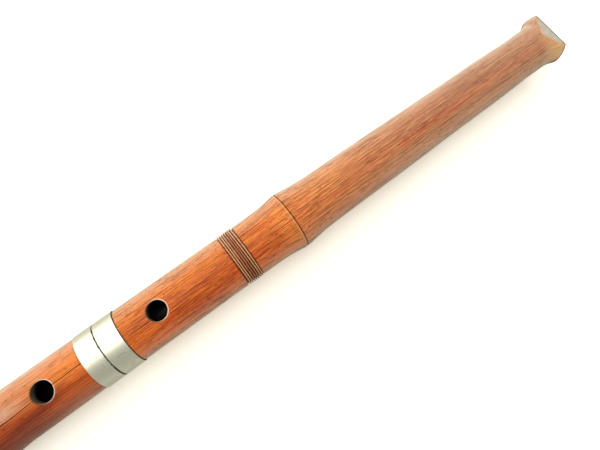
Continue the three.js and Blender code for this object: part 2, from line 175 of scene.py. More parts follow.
def fill(tree, node, **values):
    """Feeds a node's named inputs. An underscore in a name stands for a space."""
    for name, value in values.items():
        feed(tree, node.inputs[name.replace("_", " ")], value)


def put(tree, kind, settings=None, **inputs):
    """Adds a node with its named inputs, and gives back its outputs."""
    node = add(tree, kind, **(settings or {}))
    fill(tree, node, **inputs)
    return node.outputs


def feed_all(tree, node, *values):
    """Feeds a node's inputs in their order."""
    for socket, value in zip(node.inputs, values):
        feed(tree, socket, value)
    return node.outputs[0]


def maths(tree, operation, first, second=0.0):
    return feed_all(tree, add(tree, "ShaderNodeMath", operation=operation), first, second)


def times(tree, product, *others):
    for other in others:
        product = maths(tree, "MULTIPLY", product, other)
    return product


def vector_maths(tree, operation, first, second=(0, 0, 0), output=0):
    node = add(tree, "ShaderNodeVectorMath", operation=operation)
    feed(tree, node.inputs[0], first)
    feed(tree, node.inputs[1], second)
    return node.outputs[output]


def distance(tree, vector):
    return vector_maths(tree, "LENGTH", vector, output=1)


def scaled(tree, vector, amount):
    node = add(tree, "ShaderNodeVectorMath", operation="SCALE")
    feed(tree, node.inputs[0], vector)
    feed(tree, node.inputs["Scale"], amount)
    return node.outputs[0]


def split(tree, vector):
    """The three parts of a vector, as outputs to pick from."""
    return put(tree, "ShaderNodeSeparateXYZ", Vector=vector)


def join(tree, x=0.0, y=0.0, z=0.0):
    return feed_all(tree, add(tree, "ShaderNodeCombineXYZ"), x, y, z)


def remap(tree, value, low, high, new_low=0.0, new_high=1.0, smooth=False):
    """Turns one range into another, and goes no further than its ends."""
    kind = "SMOOTHSTEP" if smooth else "LINEAR"
    node = add(tree, "ShaderNodeMapRange", interpolation_type=kind, clamp=True)
    return feed_all(tree, node, value, low, high, new_low, new_high)


def mix_colours(tree, factor, first, second, blend="MIX"):
    node = add(tree, "ShaderNodeMix", data_type="RGBA", blend_type=blend)
    feed(tree, node.inputs[0], factor)
    feed(tree, node.inputs[6], first)
    feed(tree, node.inputs[7], second)
    return node.outputs[2]


def layer(tree, body, colour, *shares, blend="MIX"):
    """Paints a colour over the body, as strongly as the product of all shares says."""
    return mix_colours(tree, times(tree, *shares), body, colour, blend)


def noise_at(tree, vector, scale, detail, roughness=0.5, distortion=0.0):
    return put(
        tree, "ShaderNodeTexNoise",
        Vector=vector, Scale=scale, Detail=detail, Roughness=roughness, Distortion=distortion,
    )["Fac"]


def ramp(tree, factor, stops):
    """A colour ramp from a list of (position, colour)."""
    node = add(tree, "ShaderNodeValToRGB")
    feed(tree, node.inputs[0], factor)
    elements = node.color_ramp.elements
    while len(elements) < len(stops):
        elements.new(0.5)
    for element, (position, colour) in zip(elements, stops):
        element.position = position
        element.color = colour
    return node.outputs[0]


def paint(red, green, blue):
    """A colour as it is read off a paint card, from 0 to 255, made linear."""
    parts = [value / 255 for value in (red, green, blue)]
    return tuple(p / 12.92 if p <= 0.04045 else ((p + 0.055) / 1.055) ** 2.4 for p in parts) + (1,)


def shader_group(name, outputs, **numbers):
    """An empty group that is given a vector and the named numbers, and puts out what is listed."""
    tree = bpy.data.node_groups.new(name, "ShaderNodeTree")
    tree.interface.new_socket("Vector", in_out="INPUT", socket_type=VECTOR)
    for label, value in numbers.items():
        label = label.replace("_", " ")
        tree.interface.new_socket(label, in_out="INPUT", socket_type=FLOAT).default_value = value
    for label, kind in outputs:
        tree.interface.new_socket(label, in_out="OUTPUT", socket_type=kind)
    start = tree.nodes.new("NodeGroupInput")
    end = tree.nodes.new("NodeGroupOutput")
    return tree, start.outputs, end.inputs


def place_group(tree, group, **values):
    """Places a node group in a material, with its named inputs."""
    return put(tree, "ShaderNodeGroup", {"node_tree": group}, **values)


# %% [markdown]
# ## Floor and light
# The flute lies on a white sheet under two wide soft panels. One hangs overhead and reaches a
# little past the camera. The other stands at the far side. Between them they whiten the metal on
# that side and leave it grey on the near one. The world gives the plain light from all round.
# Rays from the camera see the sheet and the world brighter than they light the flute, so the
# background is white and no lamp is turned up for it.

# %% Floor, world and lamps
FLOOR_SIZE = 6.0
FLOOR_COLOUR = (0.55, 0.54, 0.52, 1)
SEEN_FLOOR_COLOUR = (0.93, 0.93, 0.92, 1)
SEEN_FLOOR_GLOW = (0.36, 0.33, 0.24, 1)
FADE_TO_WHITE = (0.4, 0.8)
WORLD_COLOUR = (0.40, 0.40, 0.375, 1)
WHITE = (1, 1, 1, 1)
PANEL_COLOUR = (1.0, 0.985, 0.96)
PANELS = {
    "overhead_panel": {"place": (0.05, 0.475, 1.15), "turn": 0.0, "size": (2.2, 1.45), "power": 17.7},
    "side_panel": {"place": (0.05, 1.6, 0.62), "turn": -90.0, "size": (2.2, 1.2), "power": 14.9},
}


def plain_shader(tree, kind, colour):
    return feed_all(tree, add(tree, kind), colour)


def mix_shaders(tree, share, first, second):
    return feed_all(tree, add(tree, "ShaderNodeMixShader"), share, first, second)


def seen_as(tree, seen, lighting):
    """One look for the camera, and another for the light that the flute gets."""
    camera_ray = add(tree, "ShaderNodeLightPath").outputs["Is Camera Ray"]
    return mix_shaders(tree, camera_ray, lighting, seen)


def make_floor():
    mesh = bpy.data.meshes.new("floor")
    half = FLOOR_SIZE / 2
    corners = [(-half, -half, 0), (half, -half, 0), (half, half, 0), (-half, half, 0)]
    mesh.from_pydata(corners, [], [(0, 1, 2, 3)])
    floor = bpy.data.objects.new("floor", mesh)
    bpy.context.scene.collection.objects.link(floor)
    material = bpy.data.materials.new("white_sheet")
    material.use_nodes = True
    tree = material.node_tree
    tree.nodes.clear()
    paper = plain_shader(tree, "ShaderNodeBsdfDiffuse", FLOOR_COLOUR)
    lit = plain_shader(tree, "ShaderNodeBsdfDiffuse", SEEN_FLOOR_COLOUR)
    glow = plain_shader(tree, "ShaderNodeEmission", SEEN_FLOOR_GLOW)
    both = feed_all(tree, add(tree, "ShaderNodeAddShader"), lit, glow)
    away = distance(tree, add(tree, "ShaderNodeTexCoord").outputs["Object"])
    white = plain_shader(tree, "ShaderNodeEmission", WHITE)
    faded = mix_shaders(tree, remap(tree, away, *FADE_TO_WHITE), both, white)
    end = add(tree, "ShaderNodeOutputMaterial")
    feed(tree, end.inputs["Surface"], seen_as(tree, faded, paper))
    mesh.materials.append(material)


def make_world():
    world = bpy.data.worlds.new("studio")
    world.use_nodes = True
    tree = world.node_tree
    tree.nodes.clear()
    plain = plain_shader(tree, "ShaderNodeBackground", WORLD_COLOUR)
    white = plain_shader(tree, "ShaderNodeBackground", WHITE)
    end = add(tree, "ShaderNodeOutputWorld")
    feed(tree, end.inputs["Surface"], seen_as(tree, white, plain))
    bpy.context.scene.world = world


def make_panel(name, place, turn, size, power):
    """A soft lamp that no camera ray sees. Unturned it shines down, at -90 degrees along -Y."""
    lamp = bpy.data.lights.new(name, "AREA")
    lamp.shape = "RECTANGLE"
    lamp.size, lamp.size_y = size
    lamp.energy = power
    lamp.color = PANEL_COLOUR
    panel = bpy.data.objects.new(name, lamp)
    panel.visible_camera = False
    panel.matrix_world = Matrix.Translation(place) @ Matrix.Rotation(math.radians(turn), 4, "X")
    bpy.context.scene.collection.objects.link(panel)


make_floor()
make_world()
for name, values in PANELS.items():
    make_panel(name, **values)
bpy.context.scene.view_settings.view_transform = "Standard"
print("panels:", sorted(PANELS))

# %% [markdown]
# ## Effects that several finishes share
# Grain, mottling, pits, ring marks and hole marks come back in more than one finish. Each is a
# node group with named inputs, built once, and so are the scratches. All but the first group put
# out masks between 0 and 1, and the material decides what a mask does. All of them read
# millimetres along and across the flute.
#
# Bamboo grows in rings, so its pattern should follow the surface where the culm swells. The first
# group moves every point straight out from the bore's axis to one and the same radius. A pattern
# that reads these places runs up a swelling as straight lines.

# %% Places on a cylinder


def make_on_cylinder():
    tree, given, result = shader_group(
        "on_cylinder", [("Vector", VECTOR)], Axis_Height=AXIS_HEIGHT, Radius=CULM_RADIUS,
    )
    parts = split(tree, given["Vector"])
    height = maths(tree, "SUBTRACT", parts[2], given["Axis Height"])
    outward = vector_maths(tree, "NORMALIZE", join(tree, y=parts[1], z=height))
    across = scaled(tree, outward, given["Radius"])
    feed(tree, result["Vector"], vector_maths(tree, "ADD", across, join(tree, x=parts[0])))
    return tree


ON_CYLINDER = make_on_cylinder()

# %% [markdown]
# Bamboo fibres run along the culm, so the grain is a noise that is drawn out along X. A second
# noise at another fineness, cut off high, gives the single dark fibres between them.

# %% The long grain


def make_long_grain():
    outputs = [("Streaks", FLOAT), ("Fibres", FLOAT)]
    tree, given, result = shader_group(
        "long_grain", outputs, Fineness=1.6, Length=40.0, Dark_Share=0.3,
    )
    along = maths(tree, "DIVIDE", given["Fineness"], given["Length"])
    stretch = join(tree, along, given["Fineness"], given["Fineness"])
    drawn = vector_maths(tree, "MULTIPLY", given["Vector"], stretch)
    soft = noise_at(tree, drawn, 1.0, detail=3.0, roughness=0.62)
    feed(tree, result["Streaks"], remap(tree, soft, 0.3, 0.7))
    shifted = vector_maths(tree, "ADD", drawn, (31.0, 7.0, 13.0))
    fine = noise_at(tree, shifted, 1.9, detail=2.0, roughness=0.55)
    edge = maths(tree, "SUBTRACT", 0.78, times(tree, given["Dark Share"], 0.4))
    feed(tree, result["Fibres"], remap(tree, fine, edge, maths(tree, "ADD", edge, 0.1), smooth=True))
    return tree


LONG_GRAIN = make_long_grain()

# %% [markdown]
# Mottling is slow noise, cut between two levels. It makes smoke stains on bamboo, tarnish on
# metal and dull places in lacquer.

# %% Mottling, pits and scratches
MASK = [("Mask", FLOAT)]


def make_mottling():
    tree, given, result = shader_group("mottling", MASK, Size=10.0, Stretch=3.0, Amount=0.5)
    along = maths(tree, "DIVIDE", 1.0, times(tree, given["Size"], given["Stretch"]))
    across = maths(tree, "DIVIDE", 1.0, given["Size"])
    drawn = vector_maths(tree, "MULTIPLY", given["Vector"], join(tree, along, across, across))
    cloud = noise_at(tree, drawn, 1.0, detail=4.0, roughness=0.58, distortion=0.3)
    low = remap(tree, given["Amount"], 0.0, 1.0, 0.68, 0.3)
    feed(tree, result["Mask"], remap(tree, cloud, low, maths(tree, "ADD", low, 0.22), smooth=True))
    return tree


def make_pits():
    tree, given, result = shader_group("pits", MASK, Spacing=1.0, Share=0.3, Stretch=1.0)
    across = maths(tree, "DIVIDE", 1.0, given["Spacing"])
    along = maths(tree, "DIVIDE", across, given["Stretch"])
    drawn = vector_maths(tree, "MULTIPLY", given["Vector"], join(tree, along, across, across))
    cells = put(tree, "ShaderNodeTexVoronoi", {"feature": "F1"}, Vector=drawn, Scale=1.0)
    spot = remap(tree, cells["Distance"], 0.12, 0.28, 1.0, 0.0, smooth=True)
    lot = put(tree, "ShaderNodeSeparateColor", Color=cells["Color"])[0]
    chosen = maths(tree, "LESS_THAN", lot, given["Share"])
    feed(tree, result["Mask"], times(tree, spot, chosen))
    return tree


def make_scratches():
    tree, given, result = shader_group("scratches", MASK, Fineness=2.0, Amount=0.4)
    slanted = put(
        tree, "ShaderNodeVectorRotate", {"rotation_type": "EULER_XYZ"},
        Vector=given["Vector"], Rotation=(0.4, 0.3, 0.9),
    )[0]
    drawn = vector_maths(tree, "MULTIPLY", slanted, (0.06, 1.0, 1.0))
    lines = noise_at(tree, scaled(tree, drawn, given["Fineness"]), 1.0, detail=2.0, roughness=0.7)
    edge = remap(tree, given["Amount"], 0.0, 1.0, 0.78, 0.55)
    feed(tree, result["Mask"], remap(tree, lines, edge, maths(tree, "ADD", edge, 0.05)))
    return tree


MOTTLING = make_mottling()
PITS = make_pits()
SCRATCHES = make_scratches()

# %% [markdown]
# A ring mark darkens or lightens a narrow band round the flute at one place, such as a dark line
# in a node's groove or painted shade beside a metal band. It wavers a little, as dirt and brushed
# lacquer do. A hole mark is a ring round a finger hole, and stays on the upper half, where the
# holes are.

# %% Ring marks and hole marks


def make_ring_mark():
    tree, given, result = shader_group("ring_mark", MASK, Place=0.0, Half_Width=0.5, Softness=0.5)
    waver = noise_at(tree, given["Vector"], 0.35, detail=3.0)
    parts = split(tree, given["Vector"])
    off = maths(tree, "ABSOLUTE", maths(tree, "SUBTRACT", parts[0], given["Place"]))
    shift = times(tree, maths(tree, "SUBTRACT", waver, 0.5), given["Softness"])
    outer = maths(tree, "ADD", given["Half Width"], given["Softness"])
    off = maths(tree, "ADD", off, shift)
    feed(tree, result["Mask"], remap(tree, off, given["Half Width"], outer, 1.0, 0.0, smooth=True))
    return tree


def make_hole_mark():
    tree, given, result = shader_group("hole_mark", MASK, Place=0.0, Radius=5.0, Reach=0.8)
    parts = split(tree, given["Vector"])
    off = maths(tree, "SUBTRACT", parts[0], given["Place"])
    away = distance(tree, join(tree, x=off, y=parts[1]))
    outer = maths(tree, "ADD", given["Radius"], given["Reach"])
    mask = remap(tree, away, given["Radius"], outer, 1.0, 0.0, smooth=True)
    on_top = remap(tree, parts[2], AXIS_HEIGHT, AXIS_HEIGHT + 2.0)
    feed(tree, result["Mask"], times(tree, mask, on_top))
    return tree


RING_MARK = make_ring_mark()
HOLE_MARK = make_hole_mark()
print("shared effects:", sorted(group.name for group in bpy.data.node_groups))

# %% [markdown]
# ## The finishes
# Every material starts with Object coordinates, made into millimetres by a Mapping node. The
# bamboo was smoked and then lacquered thin: its colour runs from a deep red brown at the root
# end to a paler brown near the mouth, with the grain, the smoke stains and some dirt on top.
# The grooves of the nodes are drawn darker, and painted shade lies along the edges beside the
# bands. The rims of the finger holes get a painted highlight towards the mouth and painted shade
# towards the root.

# %% Start of a material


def along_x(place):
    """A place on the flute as a distance from the middle of its length, in millimetres."""
    return TOTAL_LENGTH / 2 - place


def start_material(name):
    """A new material, its shader and its coordinates in millimetres."""
    material = bpy.data.materials.new(name)
    material.use_nodes = True
    tree = material.node_tree
    shader = tree.nodes["Principled BSDF"]
    metres = add(tree, "ShaderNodeTexCoord").outputs["Object"]
    millimetres = put(tree, "ShaderNodeMapping", Vector=metres, Scale=(1 / MM, 1 / MM, 1 / MM))[0]
    return material, tree, shader, millimetres


def bump(tree, shader, height, depth):
    """Raises the surface by a height between 0 and 1 times a depth in millimetres."""
    normal = put(tree, "ShaderNodeBump", Strength=1.0, Distance=depth * MM, Height=height)[0]
    fill(tree, shader, Normal=normal)


def ring_marks(tree, vector, marks):
    """The strongest of several ring marks, each as (place on the flute, half width, softness)."""
    strongest = 0.0
    for place, half_width, softness in marks:
        mask = place_group(
            tree, RING_MARK, Vector=vector, Place=along_x(place), Half_Width=half_width, Softness=softness,
        )["Mask"]
        strongest = maths(tree, "MAXIMUM", strongest, mask)
    return strongest


# %% [markdown]
# The body colour comes from a ramp along the flute, and tints paint light and shade onto it from
# the near side to the far one. A long dark stain crosses the lower culm, and a painted reflection
# makes the lacquer paler the flatter it is seen. Smoke darkens all of it in long clouds, the
# streaks shift it lighter and darker, and single dark fibres are drawn over it. The light streaks
# stand a few hundredths of a millimetre proud and the dark fibres lie lower, so that the light
# catches them.

# %% Colours of the bamboo
BODY_COLOURS = [
    (0.0, paint(150, 66, 32)),
    (0.345, paint(172, 82, 40)),
    (0.41, paint(232, 120, 44)),
    (0.5, paint(202, 81, 34)),
    (0.62, paint(208, 87, 34)),
    (0.68, paint(208, 118, 62)),
    (0.79, paint(168, 98, 64)),
    (1.0, paint(162, 104, 70)),
]
SMOKE_COLOUR = paint(120, 46, 26)
FIBRE_COLOUR = paint(84, 34, 18)
LIGHT_STREAK = paint(244, 150, 58)
PALE_STREAK = paint(232, 178, 128)
RED_STREAK = paint(226, 108, 46)
# The dark colour serves real specks of dirt and painted shade; the rim colours are painted highlights.
DIRT_AND_SHADE_COLOUR = paint(44, 22, 14)
RIM_HIGHLIGHT = paint(244, 214, 186)
CUT_RIM_HIGHLIGHT = paint(252, 240, 222)
SMEAR_COLOUR = paint(96, 26, 20)
SMEAR_SLOPE = 0.215
SMEAR_OFFSET = -8.06
SMEAR_HALF_WIDTHS = (0.5, 4.4)
SMEAR_ENDS = [(322.0, 333.0), (392.0, 368.0)]
SMEAR_STRENGTH = 0.62
NODE_COLOUR = paint(250, 146, 62)
# Painted light and shade, laid on from side to side by the table below.
FAR_SIDE_LIGHT = paint(236, 146, 66)
NEAR_SIDE_SHEEN = paint(208, 152, 108)
NEAR_SIDE_RED_SHADE = paint(250, 122, 66)
NEAR_SIDE_LOW_SHADE = paint(150, 44, 14)
MOUTH_NEAR_SIDE_LIGHT = paint(255, 206, 142)
PAINTED_PALE_SHEEN = paint(231, 205, 179)
LIP_COLOUR = paint(86, 76, 68)
NODE_SHINE = paint(246, 196, 130)
RECESS_SHADE = paint(96, 36, 20)

# %% [markdown]
# The table of tints has a row for each. After its colour and the way it is laid on come two lists
# of ranges. The first list is across the flute in millimetres, negative on the near side. The
# second is along it, from 0 at the root end to 1 at the mouth. A range says from where to where,
# and how strong the tint is at those two places, which is 0 and 1 if it isn't said. A tint that
# shows in a strip has two ranges. All rows but the stain's are painted light and shade: the far
# side gets a warm yellow painted light, the near side a greyer brown painted sheen towards the
# mouth and a dark red painted shade low down, and both outlines get paler painted reflections.

# %% Tints from side to side, most of them painted light and shade
SIDE_TINTS = [
    # Painted light on the far side; painted sheen, glow and pale edges on the near side; a painted
    # reflection on the far outline.
    (FAR_SIDE_LIGHT, "MIX", [(-4.0, 14.0, 0.0, 0.6)], [(0.7, 0.88, 1.0, 0.05)]),
    (NEAR_SIDE_SHEEN, "MIX", [(-1.0, -13.0, 0.0, 0.6)], [(0.58, 0.8)]),
    (paint(200, 100, 50), "ADD", [(-5.0, -13.5, 0.0, 0.4)], [(0.42, 0.47)]),
    (paint(200, 190, 180), "ADD", [(-8.0, -13.0, 0.0, 0.22)], [(0.62, 0.8)]),
    (paint(200, 170, 150), "ADD", [(-11.5, -14.5, 0.0, 0.3)], [(0.44, 0.5), (0.68, 0.62)]),
    (paint(160, 190, 150), "ADD", [(6.5, 10.5, 0.0, 0.18)], [(0.42, 0.46), (0.72, 0.64)]),
    # Painted shade on the near side low down.
    (NEAR_SIDE_LOW_SHADE, "MIX", [(-2.0, -5.5, 0.0, 0.52)], [(0.46, 0.43), (0.2, 0.33, 0.4, 1.0)]),
    # The dark stain, widened on the near side of the lower culm.
    (SMEAR_COLOUR, "MIX", [(-5.0, -12.0, 0.0, 0.7)], [(0.41, 0.36)]),
    # A painted highlight in a strip along the top of the lower culm.
    (PAINTED_PALE_SHEEN, "MIX", [(-2.5, 0.5), (6.5, 2.5)], [(0.375, 0.35, 0.0, 0.48)]),
    # Painted shade: a redder strip on the near side.
    (NEAR_SIDE_RED_SHADE, "MIX", [(-4.5, -7.0, 1.0, 0.0), (-2.5, 0.0, 0.24, 0.0)], [(0.56, 0.64)]),
    # Painted light on the near side of the mouth, and a painted highlight on its far lip.
    (MOUTH_NEAR_SIDE_LIGHT, "MIX", [(2.0, -10.0, 0.12, 1.0)], [(0.974, 0.99)]),
    (PAINTED_PALE_SHEEN, "MIX", [(7.0, 14.0, 0.0, 0.4)], [(0.974, 0.99)]),
]


def tint_by_side(tree, parts, along, body):
    for colour, blend, across_ranges, along_ranges in SIDE_TINTS:
        shares = [remap(tree, parts[1], *span) for span in across_ranges]
        shares += [remap(tree, along, *span) for span in along_ranges]
        body = layer(tree, body, colour, *shares, blend=blend)
    return body


def pale_at_flat_angles(tree, parts, along, body):
    """A painted reflection: the colour is paler the flatter it is seen, but little on the near side of the
    lower culm.
    """
    facing = add(tree, "ShaderNodeLayerWeight").outputs["Facing"]
    slow = remap(tree, facing, 0.1, 0.5, 0.0, 0.36)
    fast = remap(tree, facing, 0.47, 0.83, 0.0, 0.64)
    near = remap(tree, parts[1], 0.0, -7.0)
    low = remap(tree, along, 0.44, 0.36, 0.0, 0.65)
    share = maths(tree, "SUBTRACT", 1.0, times(tree, near, low))
    share = times(tree, maths(tree, "ADD", slow, fast), share)
    return mix_colours(tree, share, body, PAINTED_PALE_SHEEN)


def distance_from_end_face(tree, vector):
    """How far a point lies behind the sloping end face of the mouth, in millimetres."""
    turn = Matrix.Rotation(-MOUTH_TURN, 3, "X")
    normal = turn @ Matrix.Rotation(END_FACE_ANGLE, 3, "Y") @ Vector((1, 0, 0))
    on_face = turn @ Vector((0, 0, EDGE_HEIGHT)) + Vector((TOTAL_LENGTH / 2, 0, AXIS_HEIGHT))
    away = vector_maths(tree, "DOT_PRODUCT", vector, tuple(normal), output=1)
    return maths(tree, "SUBTRACT", normal.dot(on_face), away)


def rims_by_side(tree, vector, parts, wider, reach):
    """How near a point is to the rim of a finger hole, on the hole's mouth side and root side."""
    mouth_side, root_side = 0.0, 0.0
    for place, radius in FINGER_HOLES:
        mask = place_group(
            tree, HOLE_MARK, Vector=vector, Place=along_x(place), Radius=radius + wider, Reach=reach,
        )["Mask"]
        toward = remap(tree, parts[0], along_x(place) - 3.5, along_x(place) + 3.5)
        mouth_side = maths(tree, "MAXIMUM", mouth_side, times(tree, mask, toward))
        away = maths(tree, "SUBTRACT", 1.0, toward)
        root_side = maths(tree, "MAXIMUM", root_side, times(tree, mask, away))
    return mouth_side, root_side


def smear(tree, parts):
    """A long dark stain on the lower culm, which slants down the near side below the third hole."""
    slant = times(tree, parts[0], SMEAR_SLOPE)
    off = maths(tree, "ADD", maths(tree, "SUBTRACT", parts[1], slant), SMEAR_OFFSET)
    off = maths(tree, "ABSOLUTE", off)
    mask = remap(tree, off, *SMEAR_HALF_WIDTHS, 1.0, 0.0, smooth=True)
    ends = [remap(tree, parts[0], *map(along_x, span)) for span in SMEAR_ENDS]
    return times(tree, mask, *ends)


# %% [markdown]
# Streaks and fibres follow the culm's skin, so they read places on a cylinder. The streaks are
# strongest in the middle of the flute, and the fibres faintest at its mouth. The rim of a finger
# hole gets a painted highlight on its mouth side and painted shade on its root side. A node has a
# painted highlight beside its dark groove, and painted shade lies in the recess of the binding
# and along the bands.

# %% Streaks, painted highlights and shade
CULM_NODES = [FIRST_NODE, *LOWER_NODES]
STREAK_RANGES = [(0.66, 0.86, 1.0, 0.64), (0.4, 0.46, 0.6, 1.0)]
STREAK_AMOUNT = 0.7
FLECK_AMOUNT = 0.42
DARK_SHARE = 0.9
RIM_OFFSET = 0.3
RIM_REACH = 0.5


def streaked(tree, parts, along, surface, grain, body):
    """Light and dark streaks, and single dark fibres over them."""
    dashes = place_group(tree, LONG_GRAIN, Vector=surface, Fineness=1.7, Length=16.0, Dark_Share=0.5)
    flecks = place_group(tree, LONG_GRAIN, Vector=surface, Fineness=2.6, Length=20.0, Dark_Share=0.3)
    strength = times(tree, *[remap(tree, along, *span) for span in STREAK_RANGES])
    colour = mix_colours(tree, remap(tree, along, 0.62, 0.76), LIGHT_STREAK, PALE_STREAK)
    near = remap(tree, parts[1], 1.0, -3.0)
    colour = layer(tree, colour, RED_STREAK, remap(tree, along, 0.47, 0.43), near)
    for streaks, amount in ((grain["Streaks"], STREAK_AMOUNT), (flecks["Streaks"], FLECK_AMOUNT)):
        light = remap(tree, streaks, 0.5, 0.9, 0.0, amount)
        dark = remap(tree, streaks, 0.45, 0.0, 0.0, amount * DARK_SHARE)
        body = layer(tree, body, colour, light, strength)
        body = layer(tree, body, SMOKE_COLOUR, dark, strength)
    strength = times(tree, strength, remap(tree, along, 0.972, 0.988, 0.8, 0.3))
    body = layer(tree, body, FIBRE_COLOUR, grain["Fibres"], strength)
    return layer(tree, body, FIBRE_COLOUR, dashes["Fibres"], strength)


def rims_grooves_and_edges(tree, vector, parts, body):
    # Painted highlight on the mouth side of each hole rim, painted shade on its root side.
    wear_and_highlight, painted_rim_shade = rims_by_side(tree, vector, parts, RIM_OFFSET, RIM_REACH)
    body = layer(tree, body, RIM_HIGHLIGHT, wear_and_highlight, 0.6)
    body = layer(tree, body, DIRT_AND_SHADE_COLOUR, painted_rim_shade, 0.5)
    # A painted highlight beside the groove of each node.
    shine = ring_marks(tree, vector, [(place + 0.8, 0.1, 0.4) for place in CULM_NODES])
    body = layer(tree, body, NODE_SHINE, shine, 0.3)
    # Painted shade in the recess, where it shows between the turns of the cord.
    recess = ring_marks(tree, vector, [(BINDING_PLACE, 4.8, 0.2)])
    body = layer(tree, body, RECESS_SHADE, recess, 0.8)
    # Dark lines in the node grooves, and painted contact shadow along the band edges.
    marks = [(place, 0.1, 0.35) for place in CULM_NODES]
    marks += [(UPPER_BAND_START, 0.18, 0.4), (LOWER_BAND_END, 0.05, 0.2)]
    body = layer(tree, body, DIRT_AND_SHADE_COLOUR, ring_marks(tree, vector, marks), 0.85)
    lip = remap(tree, distance_from_end_face(tree, vector), 0.55, 1.25, 0.8, 0.0, smooth=True)
    return layer(tree, body, LIP_COLOUR, lip)


# %% Bamboo


def make_bamboo():
    material, tree, shader, vector = start_material("smoked_bamboo")
    parts = split(tree, vector)
    along = remap(tree, parts[0], -TOTAL_LENGTH / 2, TOTAL_LENGTH / 2)
    body = tint_by_side(tree, parts, along, ramp(tree, along, BODY_COLOURS))
    near_node = ring_marks(tree, vector, [(place + 3.5, 1.0, 7.0) for place in CULM_NODES])
    body = layer(tree, body, NODE_COLOUR, near_node, 0.58)
    body = layer(tree, body, SMEAR_COLOUR, smear(tree, parts), SMEAR_STRENGTH)
    body = pale_at_flat_angles(tree, parts, along, body)
    surface = place_group(tree, ON_CYLINDER, Vector=vector, Axis_Height=AXIS_HEIGHT)["Vector"]
    smoke = place_group(tree, MOTTLING, Vector=surface, Size=3.2, Stretch=3.0, Amount=0.36)["Mask"]
    body = layer(tree, body, SMOKE_COLOUR, smoke, 0.4)
    grain = place_group(tree, LONG_GRAIN, Vector=surface, Fineness=2.0, Length=80.0, Dark_Share=0.6)
    body = streaked(tree, parts, along, surface, grain, body)
    specks = place_group(tree, PITS, Vector=surface, Spacing=1.5, Share=0.12, Stretch=2.2)["Mask"]
    body = layer(tree, body, DIRT_AND_SHADE_COLOUR, specks, 0.55)
    body = rims_grooves_and_edges(tree, vector, parts, body)
    wear_and_highlight = place_group(tree, MOTTLING, Vector=vector, Size=6.0, Stretch=3.0, Amount=0.5)["Mask"]
    rough = maths(tree, "ADD", 0.3, times(tree, wear_and_highlight, 0.08))
    rough = maths(tree, "ADD", rough, times(tree, grain["Fibres"], 0.1))
    fill(tree, shader, Base_Color=body, Roughness=rough)
    fill(tree, shader, Specular_IOR_Level=0.12, Coat_Weight=0.05, Coat_Roughness=0.2)
    relief = maths(tree, "SUBTRACT", grain["Streaks"], times(tree, grain["Fibres"], 0.8))
    relief = maths(tree, "SUBTRACT", relief, times(tree, specks, 0.6))
    bump(tree, shader, relief, 0.035)
    return material


BAMBOO = make_bamboo()

# %% [markdown]
# Where bamboo is cut, its fibre bundles show: as dots on an end face, and as lines in a hole
# that is drilled across them. One pattern does both, because its cells are long along X.

# %% Cut bamboo


def make_cut_bamboo():
    material, tree, shader, vector = start_material("cut_bamboo")
    grain = place_group(tree, LONG_GRAIN, Vector=vector, Fineness=2.2, Length=20.0, Dark_Share=0.3)
    body = mix_colours(tree, grain["Streaks"], paint(196, 116, 66), paint(232, 168, 112))
    bundles = place_group(tree, PITS, Vector=vector, Spacing=0.75, Share=0.75, Stretch=30.0)["Mask"]
    body = layer(tree, body, paint(78, 34, 18), bundles, 0.65)
    stains = place_group(tree, MOTTLING, Vector=vector, Size=5.0, Stretch=1.0, Amount=0.45)["Mask"]
    body = layer(tree, body, SMOKE_COLOUR, stains, 0.35)
    parts = split(tree, vector)
    # Painted highlight on the mouth side of each hole's rounded rim, painted shade on its root side.
    wear_and_highlight, painted_rim_shade = rims_by_side(tree, vector, parts, 0.6, 0.6)
    body = layer(tree, body, CUT_RIM_HIGHLIGHT, wear_and_highlight, 0.85)
    body = layer(tree, body, DIRT_AND_SHADE_COLOUR, painted_rim_shade, 0.8)
    fill(tree, shader, Base_Color=body, Roughness=remap(tree, bundles, 0.0, 1.0, 0.38, 0.6))
    fill(tree, shader, Coat_Weight=0.2, Coat_Roughness=0.25)
    bump(tree, shader, maths(tree, "SUBTRACT", grain["Streaks"], bundles), 0.03)
    return material


CUT_BAMBOO = make_cut_bamboo()

# %% [markdown]
# The blowing edge is let in as a piece of pale horn. Horn is layered, so it has long faint
# veins, and under its polish it is a little cloudy.

# %% Horn


def make_horn():
    material, tree, shader, vector = start_material("pale_horn")
    veins = place_group(tree, LONG_GRAIN, Vector=vector, Fineness=0.9, Length=6.0, Dark_Share=0.2)
    clouds = place_group(tree, MOTTLING, Vector=vector, Size=3.0, Stretch=1.4, Amount=0.5)["Mask"]
    body = mix_colours(tree, clouds, paint(190, 182, 165), paint(204, 186, 166))
    body = layer(tree, body, paint(176, 172, 156), veins["Streaks"], 0.3)
    pores = place_group(tree, PITS, Vector=vector, Spacing=0.5, Share=0.12, Stretch=2.0)["Mask"]
    body = layer(tree, body, paint(110, 100, 84), pores, 0.5)
    lip = remap(tree, distance_from_end_face(tree, vector), 0.5, 1.3, 0.85, 0.0, smooth=True)
    body = layer(tree, body, LIP_COLOUR, lip)
    fill(tree, shader, Base_Color=body, Roughness=remap(tree, clouds, 0.0, 1.0, 0.26, 0.4))
    fill(tree, shader, Coat_Weight=0.3, Coat_Roughness=0.1)
    bump(tree, shader, maths(tree, "SUBTRACT", veins["Streaks"], pores), 0.015)
    return material


HORN = make_horn()

# %% [markdown]
# The bore is filled, ground true and lacquered nearly black. Brushed lacquer keeps long faint
# ridges, and dust dulls it in places. Where the wall shows through a finger hole, on its root side,
# it gets painted light.

# %% Bore lacquer


